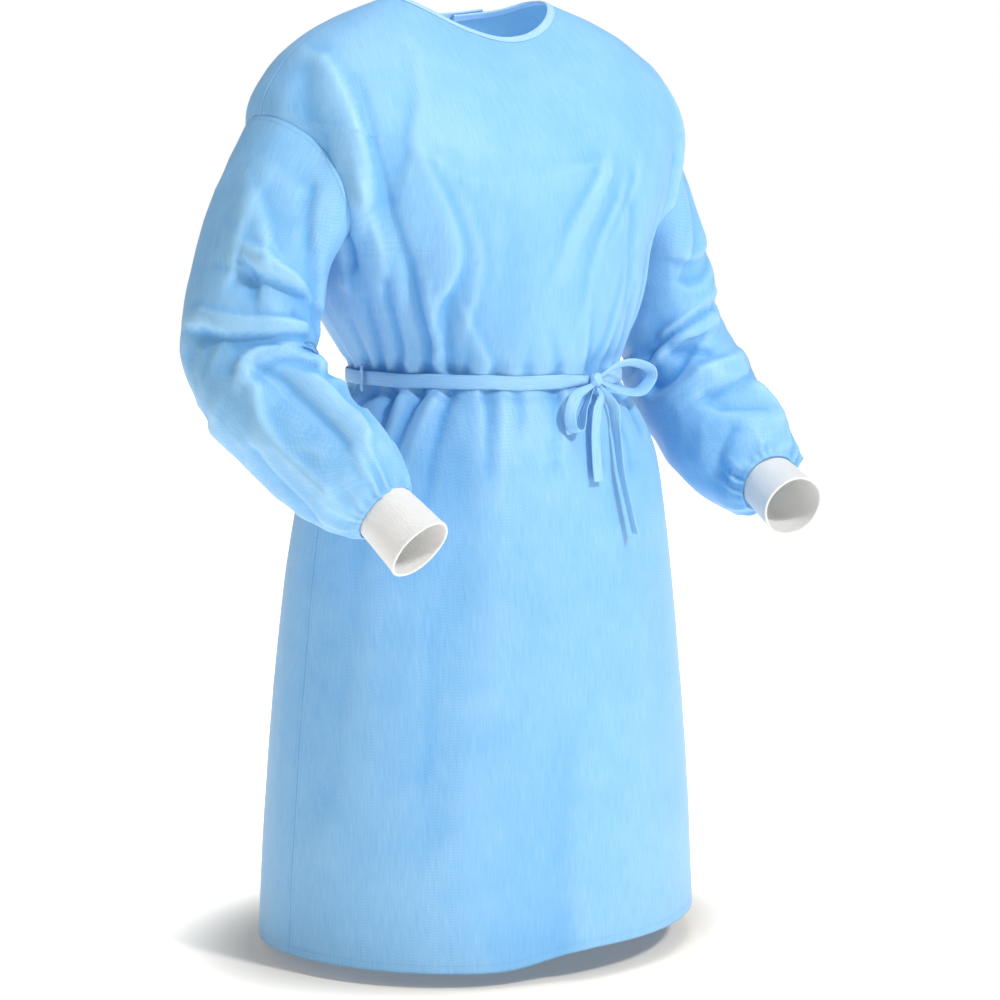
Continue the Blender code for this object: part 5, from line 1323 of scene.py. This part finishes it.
def ribbon(name, node, path, width_way, face, width, held, rests_on):
    """A folded tape along a path: its width crosses the path, and it bows a little across its face, as a parabola."""
    across = np.linspace(-1, 1, 9)[:, None, None]
    bow = (1 - across**2) * RIBBON_BOW
    points = path + width_way * width * across / 2 + face * bow
    row = lengths_along(points, 0)
    channels = {"u": row, "v": lengths_along(points, 1), "edge": from_edges(row)}
    made = put_grid(name, points + face * TAPE_WALL / 2, channels, tape_finish(), TAPE_WALL * RIBBON_SHELL_SHARE)
    flat = (max(float(np.mean(width)), RIBBON_LEAST_WIDTH), length_of_middle(points))
    stand_for(made, node, "tape", flat, held, rests_on)


class GOWN_OT_belt(bpy.types.Operator):
    """Make the belt round the waist and its two carriers at the side seams"""

    bl_idname = "gown.belt"
    bl_label = "Belt and carriers"

    def execute(self, context):
        margin = math.degrees(BELT_END_FROM_KNOT / np.linalg.norm(waist_frame(KNOT_ANGLE)[0][:2]))
        angle = np.linspace(KNOT_ANGLE + margin, KNOT_ANGLE + 360 - margin, BELT_STEPS + 1)
        from_knot = np.minimum(angle - KNOT_ANGLE, KNOT_ANGLE + 360 - angle)
        share = BELT_NARROW_SHARE + (1 - BELT_NARROW_SHARE) * smooth_step(from_knot / BELT_NARROW_ANGLE)
        middle = body_base(angle, BELT_RING)
        top = body_base(angle, BELT_RING - BELT_HALF_RINGS)
        low = body_base(angle, BELT_RING + BELT_HALF_RINGS)
        out = plain_normals(body_base, angle, BELT_RING, HEM_RING)
        width = np.linalg.norm(top - low, axis=-1) * share
        wander = 0.0006 * np.sin(np.radians(angle) * 7 + 1) + 0.0004 * np.sin(np.radians(angle) * 17)
        path = middle + out * (BELT_STAND + TAPE_WALL / 2 + BELT_CLEAR)
        path[:, 2] += wander * np.clip(from_knot / 20, 0, 1)
        carried_by = ["front_panel", "right_back_panel"]
        ribbon("waist_belt", "belt_waist", path, unit(top - low), out, width[:, None], "laid", carried_by)
        for word, place in zip(("right", "left"), CARRIER_ANGLES):
            point, side, up, out = waist_frame(place)
            share = np.linspace(-1.0, 1.0, 25)
            height = CARRIER_HALF_HEIGHT * share
            base = body_base(place, BELT_RING - height / BELT_RING_HEIGHT)
            base_out = np.maximum((base - point) @ out, 0.0)
            arch = CARRIER_STAND * (1 - share**4) + CARRIER_FOOT_GAP
            path = point + up * height[:, None] + out * (base_out + arch)[:, None]
            slope = unit(np.gradient(path, axis=0))
            face = np.cross(side, slope)
            face *= np.sign((face @ out))[:, None]
            width = np.full((len(path), 1), CARRIER_WIDTH)
            name = "belt_carrier_" + word
            across = np.linspace(-1, 1, 5)[:, None, None]
            points = path + side * width * across / 2 + face * (TAPE_WALL / 2 + CARRIER_BOW * (1 - across**2))
            row = lengths_along(points, 0)
            channels = {"u": row, "v": lengths_along(points, 1), "edge": np.ones_like(row)}
            made = put_grid(name, points, channels, tape_finish(), TAPE_WALL * RIBBON_SHELL_SHARE, flip=True)
            stand_for(made, word + "_belt_carrier", "tape")
        return {"FINISHED"}


def knot_shape(turn, row):
    """Point of the wrapped knot within a cube from -1 to 1: a rounded tube that closes at both ends, with waves round
    it for the creases of its wraps, turned about the way out from the body."""
    round_about = np.sqrt(np.clip(1 - np.abs(row) ** 2.6, 0, 1)) ** 0.9
    crease = 1 - 0.10 * np.cos(turn * 3 + row * 2.5) * round_about - 0.05 * np.cos(turn * 7 - row * 3)
    radius = round_about * crease
    shape = np.stack([radius * np.cos(turn), row * (1 - 0.04 * np.cos(turn * 2)), radius * np.sin(turn)], axis=-1)
    cosine, sine = math.cos(math.radians(KNOT_TURNED)), math.sin(math.radians(KNOT_TURNED))
    return shape @ np.array([[cosine, sine, 0], [-sine, cosine, 0], [0, 0, 1]])


class GOWN_OT_bow(bpy.types.Operator):
    """Make the bow: its knot, two loops and two tails"""

    bl_idname = "gown.bow"
    bl_label = "Bow"

    def execute(self, context):
        point, side, up, out = waist_frame(KNOT_ANGLE)
        rows = (
            ("tie_loop_left", "bow_left_loop", LEFT_LOOP),
            ("tie_loop_right", "bow_right_loop", RIGHT_LOOP),
            ("tie_tail_front", "bow_front_tail", FRONT_TAIL),
            ("tie_tail_side", "bow_side_tail", SIDE_TAIL),
        )
        for name, node, table in rows:
            steps = np.linspace(0, len(table) - 1, (len(table) - 1) * BOW_STEPS_A_SECTION + 1)
            values = {title: column(table, BOW_COLUMNS, title) for title in BOW_COLUMNS[1:]}
            place = {title: smooth_through(value, steps)[:, None] for title, value in values.items()}
            path = point + side * place["side"] + up * place["up"]
            path = path + out * (body_reach(path, out)[:, None] + place["out"])
            along = unit(np.gradient(path, axis=0))
            upright = unit(np.cross(out, along))
            lean = np.radians(place["lean"])
            width_way = upright * np.cos(lean) + out * np.sin(lean)
            width_way = unit(width_way - along * (width_way * along).sum(-1, keepdims=True))
            face = np.cross(along, width_way)
            ribbon(name, node, path, width_way, face, place["width"], "hung", ["belt_knot"])
        turns = np.linspace(0, 2 * math.pi, KNOT_TURNS, endpoint=False)
        turn, row = np.meshgrid(turns, np.linspace(-1, 1, KNOT_ROWS))
        size = np.stack([side * KNOT_HALF[0] * KNOT_SHARE, up * KNOT_HALF[1] * KNOT_SHARE, out * KNOT_HALF[2]])
        points = point + out * (BELT_STAND + KNOT_HALF[2]) + knot_shape(turn, row) @ size
        channels = {"u": turn * 0.008, "v": row * 0.009, "edge": np.ones_like(row)}
        made = put_grid("wrapped_knot", points, channels, tape_finish(), closed=True, flip=True, poles=True)
        stand_for(made, "belt_knot", "tape")
        return {"FINISHED"}


class GOWN_OT_stage(bpy.types.Operator):
    """Make the glowing floor with its painted shadow round the gown, the soft lights and the camera at the
    photograph's angle
    """

    bl_idname = "gown.stage"
    bl_label = "Stage"

    def put(self, scene, name, data, place, way):
        """Places a lamp or the camera so that it looks this way."""
        made = bpy.data.objects.get(name) or bpy.data.objects.new(name, data)
        if made.name not in scene.collection.objects:
            scene.collection.objects.link(made)
        made.location = place
        made.rotation_euler = way.to_track_quat("-Z", "Y").to_euler()
        return made

    def execute(self, context):
        scene = context.scene
        low = float(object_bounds()[0].z)
        finish = Finish("white floor", FLOOR_COLOUR, roughness=0.9, specular_ior_level=0.1, emission_strength=1.0)
        place = finish.add("ShaderNodeTexCoord", {}, {}, "Object")
        shape = {0: place, 1: FLOOR_GLOW_SHAPE}
        wide = finish.add("ShaderNodeVectorMath", {"operation": "MULTIPLY"}, shape, "Vector")
        radius = finish.add("ShaderNodeVectorMath", {"operation": "LENGTH"}, {0: wide}, "Value")
        # Painted shadow: the floor's glow is low near the gown and rises to full white further out.
        glow = FLOOR_GLOW_NEAR + (1.0 - FLOOR_GLOW_NEAR) * radius.rising(*FLOOR_GLOW_REACH)
        glow_with_painted_shadow = finish.add("ShaderNodeCombineColor", {}, {"Red": glow, "Green": glow, "Blue": glow})
        finish.set("Emission Color", glow_with_painted_shadow)
        span = np.linspace(-FLOOR_HALF, FLOOR_HALF, 3)
        x, y = np.meshgrid(span, span)
        points = np.stack([x, y, np.zeros_like(x)], axis=-1)
        floor = put_grid("floor", points, {"u": x, "v": y}, finish.made)
        floor.location.z = low - FLOOR_DROP
        floor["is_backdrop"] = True
        world = bpy.data.worlds.get("studio") or bpy.data.worlds.new("studio")
        world.use_nodes = True
        background = world.node_tree.nodes["Background"]
        background.inputs["Color"].default_value = (1.0, 1.0, 1.0, 1.0)
        rays = world.node_tree.nodes.new("ShaderNodeLightPath")
        strength = world.node_tree.nodes.new("ShaderNodeMapRange")
        strength.inputs["To Min"].default_value = WORLD_LIGHT
        strength.inputs["To Max"].default_value = 1.0
        world.node_tree.links.new(rays.outputs["Is Camera Ray"], strength.inputs["Value"])
        world.node_tree.links.new(strength.outputs["Result"], background.inputs["Strength"])
        scene.world = world
        for name, place, aim, size, power, spread in LIGHTS:
            lamp = bpy.data.lights.get(name) or bpy.data.lights.new(name, "AREA")
            lamp.shape = "DISK"
            lamp.size, lamp.energy, lamp.spread = size, power, math.radians(spread)
            self.put(scene, name, lamp, place, Vector(aim) - Vector(place))
        for name, place, size, power in INNER_LIGHTS:
            lamp = bpy.data.lights.get(name) or bpy.data.lights.new(name, "POINT")
            lamp.shadow_soft_size, lamp.energy, lamp.color = size, power, INNER_LIGHT_COLOUR
            self.put(scene, name, lamp, place, Vector((0, 0, -1)))
        camera = bpy.data.cameras.get("photo camera") or bpy.data.cameras.new("photo camera")
        camera.lens, camera.sensor_width = CAMERA_LENS, CAMERA_SENSOR
        camera.clip_start, camera.clip_end = 0.05, 60.0
        turn, rise = math.radians(CAMERA_AZIMUTH), math.radians(CAMERA_ELEVATION)
        back = Vector((math.sin(turn) * math.cos(rise), -math.cos(turn) * math.cos(rise), math.sin(rise)))
        scene.camera = self.put(scene, "photo camera", camera, Vector(CAMERA_AIM) + back * CAMERA_DISTANCE, -back)
        scene.view_settings.view_transform = "Standard"
        scene.view_settings.look = "None"
        return {"FINISHED"}


class GOWN_PT_panel(bpy.types.Panel):
    """Sizes, colours and makers of the gown in the sidebar"""

    bl_idname = "GOWN_PT_panel"
    bl_label = "Isolation gown"
    bl_space_type = "VIEW_3D"
    bl_region_type = "UI"
    bl_category = "Gown"

    def draw(self, context):
        for name in GownSettings.__annotations__:
            self.layout.prop(context.scene.gown, name)
        for maker in MAKERS:
            self.layout.operator(maker.bl_idname)


MAKERS = (
    GOWN_OT_front,
    GOWN_OT_backs,
    GOWN_OT_sleeves,
    GOWN_OT_cuffs,
    GOWN_OT_binding,
    GOWN_OT_belt,
    GOWN_OT_bow,
    GOWN_OT_stage,
)
CLASSES = (GownSettings, *MAKERS, GOWN_PT_panel)


def register():
    for made in CLASSES:
        bpy.utils.register_class(made)
    bpy.types.Scene.gown = bpy.props.PointerProperty(type=GownSettings)


def unregister():
    del bpy.types.Scene.gown
    for made in reversed(CLASSES):
        bpy.utils.unregister_class(made)


def main():
    register()
    for maker in MAKERS:
        group, name = maker.bl_idname.split(".")
        getattr(getattr(bpy.ops, group), name)()


if __name__ == "__main__":
    main()
